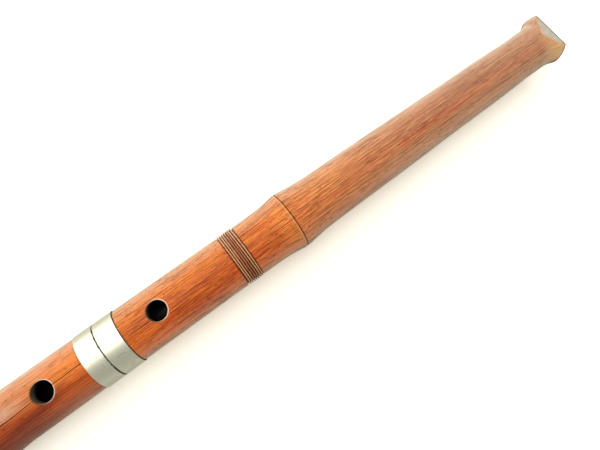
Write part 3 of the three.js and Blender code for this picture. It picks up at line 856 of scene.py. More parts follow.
def make_bore_lacquer():
    material, tree, shader, vector = start_material("bore_lacquer")
    brush = place_group(tree, LONG_GRAIN, Vector=vector, Fineness=0.8, Length=30.0, Dark_Share=0.2)
    dust = place_group(tree, MOTTLING, Vector=vector, Size=4.0, Stretch=3.0, Amount=0.4)["Mask"]
    body = mix_colours(tree, brush["Streaks"], paint(16, 10, 9), paint(34, 18, 14))
    body = layer(tree, body, paint(60, 46, 38), dust, 0.25)
    # Painted light: the top of the bore wall on the root side of each finger hole is paler.
    painted_wall_light = ring_marks(tree, vector, [(place + 4.8, 1.0, 2.4) for place, _ in FINGER_HOLES])
    parts = split(tree, vector)
    high = remap(tree, parts[2], AXIS_HEIGHT + 8.5, AXIS_HEIGHT + 12.0)
    below_edge = remap(tree, parts[0], along_x(FIRST_NODE), along_x(LOWER_HOLE_PLACES[0]))
    painted_wall_light = times(tree, painted_wall_light, high, below_edge)
    body = layer(tree, body, paint(104, 92, 74), painted_wall_light)
    fill(tree, shader, Base_Color=body, Roughness=remap(tree, dust, 0.0, 1.0, 0.36, 0.55))
    fill(tree, shader, Specular_IOR_Level=0.2)
    bump(tree, shader, brush["Streaks"], 0.02)
    return material


BORE_LACQUER = make_bore_lacquer()

# %% [markdown]
# The bands are cast silver alloy, turned and polished by hand, and dulled since. Fine scratches
# run over them, tarnish gathers in clouds, and small casting pits show on the lower one. A
# painted highlight runs round the root edge of the lower band, and painted shade darkens the gap
# between the bands and the mouth edge of the upper band.

# %% Band metal
BAND_PIT_PLACE = LOWER_BAND_END - 4.0
NICK_MIDDLE = (298.2, -12.35)
NICK_RADIUS = 5.08
NICK_HALF_WIDTH = 0.14


def nick(tree, vector):
    """A short curved scratch on the upper band: a piece of the ring between two round marks."""
    place, side = NICK_MIDDLE
    moved = vector_maths(tree, "ADD", vector, (0, -side, 0))
    rounds = [place_group(
        tree, HOLE_MARK, Vector=moved, Place=along_x(place), Radius=NICK_RADIUS + offset, Reach=0.12,
    )["Mask"] for offset in (NICK_HALF_WIDTH, -NICK_HALF_WIDTH)]
    ring = maths(tree, "SUBTRACT", *rounds)
    middle = ring_marks(tree, vector, [(place - 0.2, 1.9, 0.6)])
    parts = split(tree, vector)
    front = maths(tree, "GREATER_THAN", parts[1], side + 1.0)
    return times(tree, ring, middle, front)


def make_band_metal():
    material, tree, shader, vector = start_material("band_metal")
    tarnish = place_group(tree, MOTTLING, Vector=vector, Size=5.0, Stretch=1.0, Amount=0.42)["Mask"]
    body = mix_colours(tree, tarnish, paint(236, 234, 212), paint(222, 220, 194))
    scratches = place_group(tree, SCRATCHES, Vector=vector, Fineness=1.6, Amount=0.35)["Mask"]
    body = layer(tree, body, paint(150, 148, 130), scratches, 0.25)
    on_lower = ring_marks(tree, vector, [(BAND_PIT_PLACE, 3.5, 1.5)])
    pits = place_group(tree, PITS, Vector=vector, Spacing=1.25, Share=0.2, Stretch=1.0)["Mask"]
    pits = times(tree, pits, maths(tree, "ADD", 0.12, times(tree, on_lower, 0.8)))
    pits = maths(tree, "MAXIMUM", pits, times(tree, nick(tree, vector), 0.8))
    body = layer(tree, body, paint(84, 82, 66), pits, 0.8)
    # A painted highlight round the root edge of the lower band.
    rim = ring_marks(tree, vector, [(LOWER_BAND_END, 0.1, 0.2)])
    body = layer(tree, body, paint(250, 246, 232), rim)
    # Painted shade in the gap between the bands, full on the near side, and a painted contact shadow at
    # the mouth edge of the upper band.
    gap = ring_marks(tree, vector, [(JOINT_PLACE + JOINT_GAP / 2, 0.3, 0.35)])
    broken = remap(tree, noise_at(tree, vector, 0.45, detail=2.0), 0.45, 0.6, 0.2, 1.0)
    parts = split(tree, vector)
    broken = maths(tree, "MAXIMUM", broken, remap(tree, parts[1], -8.0, -10.5))
    gap_shade = times(tree, gap, broken)
    gap_shade = maths(tree, "MAXIMUM", gap_shade, ring_marks(tree, vector, [(UPPER_BAND_START, 0.1, 0.12)]))
    body = layer(tree, body, paint(58, 42, 30), gap_shade, 0.9)
    fill(tree, shader, Base_Color=body)
    dull = maths(tree, "MAXIMUM", maths(tree, "MAXIMUM", pits, gap_shade), times(tree, rim, 0.7))
    fill(tree, shader, Metallic=remap(tree, dull, 0.0, 1.0, 1.0, 0.4))
    rough = remap(tree, tarnish, 0.0, 1.0, 0.42, 0.54)
    fill(tree, shader, Roughness=maths(tree, "ADD", rough, times(tree, scratches, 0.12)))
    hollows = maths(tree, "ADD", pits, times(tree, scratches, 0.3))
    bump(tree, shader, times(tree, hollows, -1.0), 0.03)
    return material


BAND_METAL = make_band_metal()

# %% [markdown]
# The tenon is wound with fine rattan and lacquered red brown, so that it grips in the socket. It
# shows only when the flute is pulled apart. The cord of the binding is twisted from strands. Its
# crests are painted pale, partly as wear and partly as a painted highlight, and its far side gets
# painted light.

# %% Tenon lacquer and cord


def make_tenon_lacquer():
    material, tree, shader, vector = start_material("tenon_lacquer")
    wear_and_highlight = place_group(tree, MOTTLING, Vector=vector, Size=4.0, Stretch=2.0, Amount=0.4)["Mask"]
    grain = place_group(tree, LONG_GRAIN, Vector=vector, Fineness=1.8, Length=10.0, Dark_Share=0.25)
    body = mix_colours(tree, wear_and_highlight, paint(74, 26, 16), paint(120, 62, 38))
    body = layer(tree, body, paint(30, 14, 10), grain["Fibres"], 0.5)
    fill(tree, shader, Base_Color=body, Roughness=remap(tree, wear_and_highlight, 0.0, 1.0, 0.3, 0.5))
    fill(tree, shader, Coat_Weight=0.25)
    bump(tree, shader, grain["Streaks"], 0.02)
    return material


def make_cord_fibre():
    material, tree, shader, vector = start_material("cord_fibre")
    parts = split(tree, vector)
    height = maths(tree, "SUBTRACT", parts[2], AXIS_HEIGHT)
    out = distance(tree, join(tree, y=parts[1], z=height))
    # The crests are painted pale: partly wear, partly a painted highlight.
    crest_wear_and_highlight = remap(tree, out, CORD_CENTRE_RADIUS + 0.08, CORD_CENTRE_RADIUS + 0.36, smooth=True)
    dust = place_group(tree, MOTTLING, Vector=vector, Size=2.4, Stretch=1.0, Amount=0.5)["Mask"]
    strand = add(tree, "ShaderNodeAttribute", attribute_name="strand")
    body = mix_colours(tree, strand.outputs["Fac"], paint(104, 40, 20), paint(160, 78, 40))
    body = layer(tree, body, paint(250, 190, 134), crest_wear_and_highlight, 0.9)
    middle = ring_marks(tree, vector, [(BINDING_PLACE - 0.3, 1.0, 1.3)])
    body = layer(tree, body, paint(156, 84, 54), middle, 0.7)
    # Painted light on the far side of the cord.
    far_side_light = remap(tree, parts[1], 4.0, 13.0, 0.0, 0.4)
    body = layer(tree, body, paint(232, 196, 160), far_side_light)
    body = layer(tree, body, paint(100, 40, 22), dust, 0.35)
    fill(tree, shader, Base_Color=body, Roughness=remap(tree, dust, 0.0, 1.0, 0.42, 0.6))
    fill(tree, shader, Specular_IOR_Level=0.15)
    bump(tree, shader, noise_at(tree, vector, 9.0, detail=2.0), 0.02)
    return material


TENON_LACQUER = make_tenon_lacquer()
CORD_FIBRE = make_cord_fibre()
print("finishes:", sorted(m.name for m in bpy.data.materials if m.use_nodes and m.users))

# %% [markdown]
# ## Turning and cutting
# Shells that are turned on a lathe are made as rings of points, closed into a tube wall or a
# solid. They are shaped in the flute's own frame, in millimetres, with X pointing to the mouth,
# and moved into the frame of the CAD at the end. Cuts are made with boolean modifiers, which are
# applied at once, so that every piece ends as a plain mesh.

# %% Meshes from rings
SIDES = 144
CREASE = math.radians(34)
CORNER_STEPS = 5
WELD_DISTANCE = 2e-4
SLIVER_LENGTH = 1e-4
FLAT_CORNER = math.radians(170)
CULM_MATERIALS = [BAMBOO, CUT_BAMBOO, BORE_LACQUER]
CUT_FACE, LACQUER_FACE = 1, 2


def link_object(name, mesh, materials):
    piece = bpy.data.objects.new(name, mesh)
    bpy.context.scene.collection.objects.link(piece)
    for material in materials:
        mesh.materials.append(material)
    return piece


def ring_points(place, radius):
    angles = [2 * math.pi * k / SIDES for k in range(SIDES)]
    return [Vector((-place, radius * math.sin(angle), radius * math.cos(angle))) for angle in angles]


def mesh_from_rings(name, rings, materials, closed_loop=False, material_index=0):
    """Skins rings of equal count. A closed loop is a tube wall, else both ends get a cap."""
    sides = len(rings[0])
    mesh = bpy.data.meshes.new(name)
    points = [point for ring in rings for point in ring]
    faces = []
    for i in range(len(rings) if closed_loop else len(rings) - 1):
        low, high = i * sides, ((i + 1) % len(rings)) * sides
        for k in range(sides):
            following = (k + 1) % sides
            faces.append((low + k, low + following, high + following, high + k))
    if not closed_loop:
        faces.append(tuple(range(sides - 1, -1, -1)))
        last = (len(rings) - 1) * sides
        faces.append(tuple(range(last, last + sides)))
    mesh.from_pydata(points, [], faces)
    face_outwards(mesh)
    set_all_faces(mesh, material_index)
    return link_object(name, mesh, materials)


def set_all_faces(mesh, material_index):
    mesh.polygons.foreach_set("material_index", [material_index] * len(mesh.polygons))


def face_outwards(mesh):
    shape = bmesh.new()
    shape.from_mesh(mesh)
    bmesh.ops.remove_doubles(shape, verts=shape.verts, dist=1e-5)
    bmesh.ops.recalc_face_normals(shape, faces=shape.faces)
    shape.to_mesh(mesh)
    shape.free()


def turned(name, outline, materials, wall=True):
    """A piece turned from (place, radius) pairs: a closed wall outline, or a solid with caps."""
    rings = [ring_points(place, radius * FACET) for place, radius in outline]
    return mesh_from_rings(name, rings, materials, closed_loop=wall)


def round_corners(outline, radius):
    """Rounds every corner of a closed outline that turns by more than ten degrees."""
    corners = []
    count = len(outline)
    for i in range(count):
        before, corner, after = (Vector(outline[(i + k) % count]) for k in (-1, 0, 1))
        back, on = before - corner, after - corner
        if back.angle(on) > FLAT_CORNER:
            corners.append(tuple(corner))
            continue
        reach = min(radius, back.length * 0.45, on.length * 0.45)
        start, end = corner + back.normalized() * reach, corner + on.normalized() * reach
        for k in range(CORNER_STEPS + 1):
            t = k / CORNER_STEPS
            point = start * (1 - t) ** 2 + corner * (2 * t * (1 - t)) + end * t ** 2
            corners.append(tuple(point))
    return corners


def fill_runs(outline, step):
    """Puts points on the long straight runs of a closed outline."""
    filled = []
    for i, point in enumerate(outline):
        start, end = Vector(point), Vector(outline[(i + 1) % len(outline)])
        count = max(1, round((end - start).length / step))
        filled += [tuple(start.lerp(end, k / count)) for k in range(count)]
    return filled


def cut(piece, tool):
    """Takes a tool's shape out of a piece, and throws the tool away."""
    modifier = piece.modifiers.new("cut", "BOOLEAN")
    modifier.object = tool
    modifier.operation = "DIFFERENCE"
    modifier.solver = "MANIFOLD"
    area_before = sum(face.area for face in piece.data.polygons)
    apply_modifiers(piece)
    bpy.data.objects.remove(tool)
    if abs(sum(face.area for face in piece.data.polygons) - area_before) < 0.01:
        print("nothing was cut from", piece.name)


def apply_modifiers(piece):
    graph = bpy.context.evaluated_depsgraph_get()
    result = bpy.data.meshes.new_from_object(piece.evaluated_get(graph), depsgraph=graph)
    old = piece.data
    piece.modifiers.clear()
    piece.data = result
    bpy.data.meshes.remove(old)


def one_material(piece, material):
    piece.data.materials.clear()
    piece.data.materials.append(material)
    set_all_faces(piece.data, 0)


def finish_piece(piece, body, replaced):
    shape = bmesh.new()
    shape.from_mesh(piece.data)
    bmesh.ops.remove_doubles(shape, verts=shape.verts, dist=WELD_DISTANCE)
    bmesh.ops.dissolve_degenerate(shape, edges=shape.edges, dist=SLIVER_LENGTH)
    open_edges = sum(1 for edge in shape.edges if not edge.is_manifold)
    shape.transform(TO_METRES)
    shape.to_mesh(piece.data)
    shape.free()
    piece.data.polygons.foreach_set("use_smooth", [True] * len(piece.data.polygons))
    piece.data.set_sharp_from_angle(angle=CREASE)
    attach(piece, body)
    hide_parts(*replaced)
    triangles = sum(len(face.vertices) - 2 for face in piece.data.polygons)
    print(f"{piece.name}: {triangles} triangles, {open_edges} open edges")


# %% [markdown]
# ## The outline of a culm
# A culm's outline is written as shares of a rise against shares of a reach. Between the points
# of a table the outline is a smooth curve that never overshoots them, so it has no kinks where
# the CAD has its corners.

# %% Outline rules
FLARE = [
    (0, 1), (0.1, 0.94), (0.17, 0.82), (0.21, 0.56), (0.25, 0.28), (0.3, 0.12), (0.4, 0.05),
    (0.6, 0.02), (1, 0),
]
TAPER = [(0, 0), (0.07, 0.16), (0.15, 0.3), (0.33, 0.42), (0.5, 0.64), (0.7, 0.83), (1, 1)]
SWELL = [(0, 1), (0.12, 0.88), (0.28, 0.6), (0.5, 0.3), (0.75, 0.09), (1, 0)]
ROOT = [(0, 0), (0.2, 0.08), (0.4, 0.27), (0.6, 0.53), (0.8, 0.8), (1, 1)]
RING = [(0, 1), (0.35, 0.75), (0.7, 0.2), (1, 0)]
GROOVE_SOFT_SIDE = 1.7


def slope(table, i):
    if i in (0, len(table) - 1):
        return 0.0
    (x0, y0), (x1, y1), (x2, y2) = table[i - 1:i + 2]
    left, right = (y1 - y0) / (x1 - x0), (y2 - y1) / (x2 - x1)
    return 2 * left * right / (left + right) if left * right > 0 else 0.0


def share_at(table, reach):
    reach = min(max(reach, table[0][0]), table[-1][0])
    i = next(k for k in range(1, len(table)) if reach <= table[k][0])
    (x0, y0), (x1, y1) = table[i - 1], table[i]
    width = x1 - x0
    t = (reach - x0) / width
    rise = (2 * t ** 3 - 3 * t ** 2 + 1) * y0 + (3 * t ** 2 - 2 * t ** 3) * y1
    bend = (t ** 3 - 2 * t ** 2 + t) * slope(table, i - 1) + (t ** 3 - t ** 2) * slope(table, i)
    return rise + bend * width


def node_swell(place, node, rise, mouth_reach, root_reach):
    reach = (node - place) / mouth_reach if place < node else (place - node) / root_reach
    return rise * share_at(SWELL, reach) if reach < 1 else 0.0


def groove(place, node, depth, half_width):
    """The scar of the sheath: a steep lip towards the mouth and a soft side to the root."""
    off = place - node
    width = half_width if off < 0 else half_width * GROOVE_SOFT_SIDE
    return depth * math.exp(-(off / width) ** 2)


def upper_radius(place):
    if place < FLARE_LENGTH:
        return NECK_RADIUS + (MOUTH_RADIUS - NECK_RADIUS) * share_at(FLARE, place / FLARE_LENGTH)
    taper = share_at(TAPER, (place - FLARE_LENGTH) / (FIRST_NODE - FLARE_LENGTH))
    swell = node_swell(place, FIRST_NODE, NODE_RISE, NODE_MOUTH_REACH, NODE_ROOT_REACH)
    return NECK_RADIUS + (CULM_RADIUS - NECK_RADIUS) * taper + swell


def root_widening(place):
    reach = (place - ROOT_START) / (TOTAL_LENGTH - ROOT_START)
    return (ROOT_RADIUS - CULM_RADIUS) * share_at(ROOT, reach) if reach > 0 else 0.0


def root_ring(place, node, rise, ring_reach):
    return rise * share_at(RING, min(1.0, abs(place - node) / ring_reach))


def lower_radius(place):
    swell = max(node_swell(place, node, LOWER_NODE_RISE, LOWER_NODE_REACH, LOWER_NODE_REACH)
                for node in LOWER_NODES)
    rings = max(root_ring(place, node, ROOT_NODE_RISE, ROOT_NODE_REACH) for node in ROOT_NODES)
    return CULM_RADIUS + root_widening(place) + swell + rings


def rise_at(place):
    """How far the root end bends up from the straight axis."""
    return root_widening(place) * ROOT_RISE_SHARE


# %% [markdown]
# An outline is sampled in even steps, finely where it changes fast. Where it drops into a recess
# or to the seat of a band, a few close places round the edge a little.

# %% Places along an outline
EDGE_OFFSETS = (-0.15, -0.03, 0.0, 0.02)
EDGE_DROPS = {-0.03: 0.03, 0.0: 0.12}


def steps_between(start, end, step):
    count = max(1, round((end - start) / step))
    return [start + (end - start) * i / count for i in range(count + 1)]


def edge_places(edge, side=1):
    """The places round an edge. The drop is towards the root, or to the mouth if the side is -1."""
    return sorted(edge + side * offset for offset in EDGE_OFFSETS)


def edge_drops(edge, side=1):
    """How much lower than the outline the places at an edge are."""
    return {edge + side * offset: drop for offset, drop in EDGE_DROPS.items()}


# %% [markdown]
# ## Sweeping a culm with Geometry Nodes
# A culm's shape follows a rule: a round section whose radius changes along a line. So a line of
# points carries the radius, and a node tree sweeps a circle along it. The tree then makes the
# section a little oval and uneven, as a grown culm is, except where something has to fit.

# %% Helpers for node trees of geometry
INTEGER, MATERIAL = "NodeSocketInt", "NodeSocketMaterial"


def geometry_tree(name, inputs):
    tree = bpy.data.node_groups.new(name, "GeometryNodeTree")
    tree.interface.new_socket("Geometry", in_out="INPUT", socket_type="NodeSocketGeometry")
    for label, kind, value in inputs:
        socket = tree.interface.new_socket(label, in_out="INPUT", socket_type=kind)
        if value is not None:
            socket.default_value = value
    tree.interface.new_socket("Geometry", in_out="OUTPUT", socket_type="NodeSocketGeometry")
    start = tree.nodes.new("NodeGroupInput")
    end = tree.nodes.new("NodeGroupOutput")
    return tree, start.outputs, end.inputs


def grow(piece, tree, **values):
    """Runs a geometry tree on a piece with the named inputs, and keeps the result as its mesh."""
    modifier = piece.modifiers.new(tree.name, "NODES")
    modifier.node_group = tree
    for item in tree.interface.items_tree:
        if item.in_out == "INPUT" and item.name.replace(" ", "_") in values:
            modifier[item.identifier] = values[item.name.replace(" ", "_")]
    apply_modifiers(piece)


def close_tree(tree, geometry, material, end):
    """Every tree ends in a smooth mesh of its own with its material."""
    smooth = put(tree, "GeometryNodeSetShadeSmooth", Geometry=geometry)[0]
    real = put(tree, "GeometryNodeRealizeInstances", Geometry=smooth)[0]
    dressed = put(tree, "GeometryNodeSetMaterial", Geometry=real, Material=material)[0]
    feed(tree, end["Geometry"], dressed)


def stored_value(tree, name, kind="FLOAT"):
    """The values that the mesh or an earlier node keeps under a name."""
    return put(tree, "GeometryNodeInputNamedAttribute", {"data_type": kind}, Name=name)["Attribute"]


def store_value(tree, geometry, name, value):
    """Keeps a value for every point of a geometry, under a name."""
    return put(
        tree, "GeometryNodeStoreNamedAttribute", {"data_type": "FLOAT", "domain": "POINT"},
        Geometry=geometry, Name=name, Value=value,
    )[0]


def line_from(tree, mesh):
    return put(tree, "GeometryNodeMeshToCurve", Mesh=mesh)[0]


def swept_round(tree, line, sides, radius, **scale):
    """A round bar along a line, closed at both ends."""
    circle = put(
        tree, "GeometryNodeCurvePrimitiveCircle", {"mode": "RADIUS"}, Resolution=sides, Radius=radius,
    )[0]
    return put(
        tree, "GeometryNodeCurveToMesh", Curve=line, Profile_Curve=circle, Fill_Caps=True, **scale,
    )[0]


# %% The sweep of a culm
OVAL_TURN = 0.012
UNEVEN_SCALE = 0.07


def make_culm_sweep():
    tree, given, end = geometry_tree("culm_sweep", [
        ("Sides", INTEGER, SIDES), ("Ovalness", FLOAT, 0.08), ("Unevenness", FLOAT, 0.2),
        ("Seed", FLOAT, 0.0), ("Material", MATERIAL, None),
    ])
    line = line_from(tree, given["Geometry"])
    sweep = swept_round(tree, line, given["Sides"], 1.0, Scale=stored_value(tree, "radius"))
    place = add(tree, "GeometryNodeInputPosition").outputs[0]
    parts = split(tree, place)
    outward = vector_maths(tree, "NORMALIZE", join(tree, y=parts[1], z=parts[2]))
    angle = maths(tree, "ARCTAN2", parts[2], parts[1])
    turn = maths(tree, "ADD", times(tree, parts[0], OVAL_TURN), given["Seed"])
    wave = maths(tree, "COSINE", maths(tree, "ADD", times(tree, angle, 2.0), turn))
    oval = times(tree, wave, given["Ovalness"])
    moved = vector_maths(tree, "ADD", place, join(tree, x=given["Seed"]))
    cloud = noise_at(tree, moved, UNEVEN_SCALE, detail=2.0)
    uneven = times(tree, maths(tree, "SUBTRACT", cloud, 0.5), given["Unevenness"])
    shift = times(tree, maths(tree, "ADD", oval, uneven), stored_value(tree, "give"))
    push = scaled(tree, outward, shift)
    grown = put(tree, "GeometryNodeSetPosition", Geometry=sweep, Offset=push)[0]
    close_tree(tree, grown, given["Material"], end)
    return tree


CULM_SWEEP = make_culm_sweep()


def line_object(name, points):
    """A mesh of points with an edge from each to the next, for a tree to grow on."""
    mesh = bpy.data.meshes.new(name)
    mesh.from_pydata(points, [(i, i + 1) for i in range(len(points) - 1)], [])
    return link_object(name, mesh, [])


def swept_culm(name, outline, seed):
    """A solid culm from (place, radius, give) rows. Give is 0 where a part has to fit."""
    piece = line_object(name, [(-place, 0, 0) for place, _, _ in outline])
    radii = piece.data.attributes.new("radius", "FLOAT", "POINT")
    radii.data.foreach_set("value", [radius * FACET for _, radius, _ in outline])
    give = piece.data.attributes.new("give", "FLOAT", "POINT")
    give.data.foreach_set("value", [value for _, _, value in outline])
    grow(piece, CULM_SWEEP, Sides=SIDES, Seed=seed, Material=BAMBOO)
    for material in CULM_MATERIALS[1:]:
        piece.data.materials.append(material)
    face_outwards(piece.data)
    for face in piece.data.polygons:
        if abs(face.normal.x) > 0.99:
            face.material_index = CUT_FACE
    print(f"{name}: {len(outline)} rings")
    return piece


def fading(place, start, end, reach):
    """1 between two places, falling to 0 within a reach of either."""
    inside = min(place - start, end - place) / reach
    return min(1.0, max(0.0, inside))


# %% [markdown]
# ## Tools for the cuts
# A finger hole is burnt and filed through the wall, and its rim is rounded evenly all the way
# round although the culm curves away under it. So the tool follows the culm: each corner of it
# knows how high the surface stands there, and the rounding is laid along that line. The wall of
# a hole is lacquered like the bore, and only its rounded rim shows bare bamboo.

# %% Hole, box and slab tools
HOLE_SIDES = 72
RIM_ROUNDING = 0.5
RIM_STEPS = 5
RIM_BEND = math.radians(78)
TOOL_OVERRUN = 6.0
TOOL_FLARE = 0.05


def hole_tool(place, radius, side=1):
    """A tool for a hole on the finger side, or on the thumb side if the side is -1."""
    surface = CULM_RADIUS * FACET
    levels = [(radius, None)]
    for k in range(RIM_STEPS + 1):
        bend = RIM_BEND * k / RIM_STEPS
        widening, drop = RIM_ROUNDING * (1 - math.cos(bend)), RIM_ROUNDING * (1 - math.sin(bend))
        levels.append((radius + widening, drop))
    rings = [[] for _ in range(len(levels) + 1)]
    top = levels[-1][0] + TOOL_FLARE
    for k in range(HOLE_SIDES):
        angle = 2 * math.pi * k / HOLE_SIDES
        for ring, (reach, drop) in zip(rings, levels):
            across = reach * math.sin(angle)
            height = 0.0 if drop is None else math.sqrt(surface ** 2 - across ** 2) - drop
            ring.append(Vector((-place + reach * math.cos(angle), across * side, height * side)))
        rings[-1].append(Vector((
            -place + top * math.cos(angle), top * math.sin(angle) * side, (surface + TOOL_OVERRUN) * side,
        )))
    tool = mesh_from_rings("hole_tool", rings, CULM_MATERIALS, material_index=CUT_FACE)
    for face in tool.data.polygons:
        if any(abs(tool.data.vertices[i].co.z) < 0.01 for i in face.vertices):
            face.material_index = LACQUER_FACE
    return tool


def box_tool(low, high, matrix):
    """A block between two corners, moved by a matrix."""
    shape = bmesh.new()
    bmesh.ops.create_cube(shape, size=1.0)
    low, high = Vector(low), Vector(high)
    scale = Matrix.Diagonal((*(high - low), 1))
    shape.transform(matrix @ Matrix.Translation((low + high) / 2) @ scale)
    mesh = bpy.data.meshes.new("box_tool")
    shape.to_mesh(mesh)
    shape.free()
    set_all_faces(mesh, CUT_FACE)
    return link_object("box_tool", mesh, CULM_MATERIALS)


def slab(name, outline, low, high, matrix, materials):
    """A flat plate with an outline of (x, y) pairs, between two heights."""
    rings = [[matrix @ Vector((x, y, height)) for x, y in outline] for height in (low, high)]
    return mesh_from_rings(name, rings, materials, material_index=min(CUT_FACE, len(materials) - 1))


# %% [markdown]
# ## The mouth
# The blowing edge is made by two sloping cuts that meet in a straight line: a long shallow one
# from above, and the steeper end face, which takes the flare of the mouth away at the chin. Both
# are turned a few degrees from the row of finger holes, as the maker of this flute turned them. A
# frame that lies in the shallow cut makes the work easy: across the flute, along the cut towards
# the root, and straight out of it.

# %% The two cuts of the mouth
MOUTH_CUT_ANGLE = math.radians(16.5)
MOUTH_BORE_RADIUS = 10.0
MOUTH_BORE_LENGTH = 14.0
INLAY_RIM = 0.75
INLAY_THICKNESS = 1.7
INLAY_PLAY = 0.05
INLAY_OVERHANG = 3.0
CUT_SAMPLES = 61
CUT_STEP = 0.02
MOUTH_BORE_OVERRUN = 20.0
MOUTH_CUT_BLOCK = ((-30, -30, 0), (30, 40, 30))
END_FACE_BLOCK = ((0, -40, -60), (40, 40, 40))


def mouth_frame():
    across = Vector((0, 1, 0))
    along = Vector((-math.cos(MOUTH_CUT_ANGLE), 0, math.sin(MOUTH_CUT_ANGLE)))
    axes = Matrix((across, along, across.cross(along))).transposed().to_4x4()
    return Matrix.Rotation(-MOUTH_TURN, 4, "X") @ Matrix.Translation((0, 0, EDGE_HEIGHT)) @ axes


def lean(place, across):
    """How far a point of the flare is moved along the flute, by its place and its side."""
    return MOUTH_LEAN * across * min(1.0, max(0.0, 1 - place / LEAN_REACH))


def cut_outline():
    """The edge of the mouth cut, as (across, along) pairs in the frame of the cut."""
    half = math.sqrt((MOUTH_RADIUS * FACET) ** 2 - EDGE_HEIGHT ** 2)
    outline = []
    for k in range(CUT_SAMPLES):
        across = half * math.cos(math.pi * k / (CUT_SAMPLES - 1))
        along = 0.0
        while along < FLARE_LENGTH:
            height = EDGE_HEIGHT + along * math.sin(MOUTH_CUT_ANGLE)
            place = along * math.cos(MOUTH_CUT_ANGLE)
            place += lean(place, across)
            if math.hypot(across, height) > upper_radius(max(0.0, place)) * FACET:
                break
            along += CUT_STEP
        outline.append(Vector((across, along)))
    return outline


def inset_outline(outline, inset):
    """Moves an open outline inwards and drops what falls beyond the blowing edge."""
    moved = []
    for i, point in enumerate(outline):
        before, after = outline[max(0, i - 1)], outline[min(len(outline) - 1, i + 1)]
        direction = (after - before).normalized()
        inward = Vector((-direction.y, direction.x))
        shifted = point + inward * inset
        if shifted.y > 0:
            moved.append(shifted)
    return moved


MOUTH_FRAME = mouth_frame()
CUT_OUTLINE = cut_outline()
print("mouth cut reaches back", round(max(point.y for point in CUT_OUTLINE), 2), "mm")


def inlay_plate(name, rim, thickness, top, materials):
    """A plate inside the rim of the cut, from a thickness under the cut to a top above it."""
    outline = inset_outline(CUT_OUTLINE, rim)
    first, last = outline[0].x, outline[-1].x
    outline = [Vector((first, -INLAY_OVERHANG)), *outline, Vector((last, -INLAY_OVERHANG))]
    return slab(name, outline, -thickness, top, MOUTH_FRAME, materials)


def end_face_tool():
    matrix = Matrix.Rotation(-MOUTH_TURN, 4, "X") @ Matrix.Translation((0, 0, EDGE_HEIGHT))
    return box_tool(*END_FACE_BLOCK, matrix @ Matrix.Rotation(END_FACE_ANGLE, 4, "Y"))


def mouth_bore_tool():
    ends = (-MOUTH_BORE_OVERRUN, MOUTH_BORE_LENGTH)
    outline = [(place, MOUTH_BORE_RADIUS / FACET) for place in ends]
    tool = turned("mouth_bore_tool", outline, CULM_MATERIALS, wall=False)
    set_all_faces(tool.data, LACQUER_FACE)
    return tool


# %% [markdown]
# ## The upper section
# The long upper culm has one node. Its outline is sampled closely where it changes fast: at the
# flare of the mouth, at the node with its groove, at the recess of the binding and at the seat
# of the metal band. Then the bore and the holes are cut.

# %% Sizes inside the flute
TENON_MARGIN = 2.8
BAND_RADIUS = CULM_RADIUS + 0.45
BAND_WALL = 0.8
BAND_SEAT_RADIUS = BAND_RADIUS - BAND_WALL - SEAT_GAP
SOCKET_OUTER_RADIUS = BAND_SEAT_RADIUS - 1.45 - SEAT_GAP
SOCKET_RADIUS = SOCKET_OUTER_RADIUS - 1.2
TENON_RADIUS = SOCKET_RADIUS - 0.2
JOINT_BORE_RADIUS = TENON_RADIUS - 2.65
TENON_START = UPPER_HOLE_PLACE + UPPER_HOLE + TENON_MARGIN
TENON_END = LOWER_HOLE_PLACES[0] - LOWER_HOLE - TENON_MARGIN
SOCKET_END = TENON_END + JOINT_GAP
UPPER_CULM_END = JOINT_PLACE - LIP - SEAT_GAP
LOWER_CULM_START = JOINT_PLACE + JOINT_GAP + LIP + SEAT_GAP
LINING_WALL = 0.8
UPPER_BORE_TOP = 9.9
NARROW_PLACE = 0.8624 * TOTAL_LENGTH
NARROW_RADIUS = 7.7
ROOT_BORE_RADIUS = 9.4
UPPER_LINING = (MOUTH_BORE_LENGTH + SEAT_GAP, TENON_START - SEAT_GAP)
LOWER_LINING_START = SOCKET_END + SEAT_GAP

CORD_PITCH = 1.27
CORD_TURNS = 7
RECESS_RADIUS = CORD_CENTRE_RADIUS - CORD_DIAMETER / 2 - SEAT_GAP
RECESS_LENGTH = CORD_TURNS * CORD_PITCH + CORD_DIAMETER + SEAT_GAP
CORD_START = BINDING_PLACE - CORD_TURNS * CORD_PITCH / 2
CORD_END = CORD_START + CORD_TURNS * CORD_PITCH
CORD_BEND = 0.9
ANCHOR_RADIUS = 0.62
ANCHOR_SIDES = 24


def bore_radius(place):
    if place < JOINT_PLACE:
        part = max(0.0, (place - MOUTH_BORE_LENGTH) / (TENON_START - MOUTH_BORE_LENGTH))
        return UPPER_BORE_TOP + (JOINT_BORE_RADIUS - UPPER_BORE_TOP) * min(1.0, part)
    if place < NARROW_PLACE:
        part = max(0.0, (place - TENON_END) / (NARROW_PLACE - TENON_END))
        return JOINT_BORE_RADIUS + (NARROW_RADIUS - JOINT_BORE_RADIUS) * part
    part = (place - NARROW_PLACE) / (TOTAL_LENGTH - NARROW_PLACE)
    return NARROW_RADIUS + (ROOT_BORE_RADIUS - NARROW_RADIUS) * part


# %% The outline of the upper culm
GROOVE_DEPTH = 0.4
GROOVE_HALF_WIDTH = 0.27


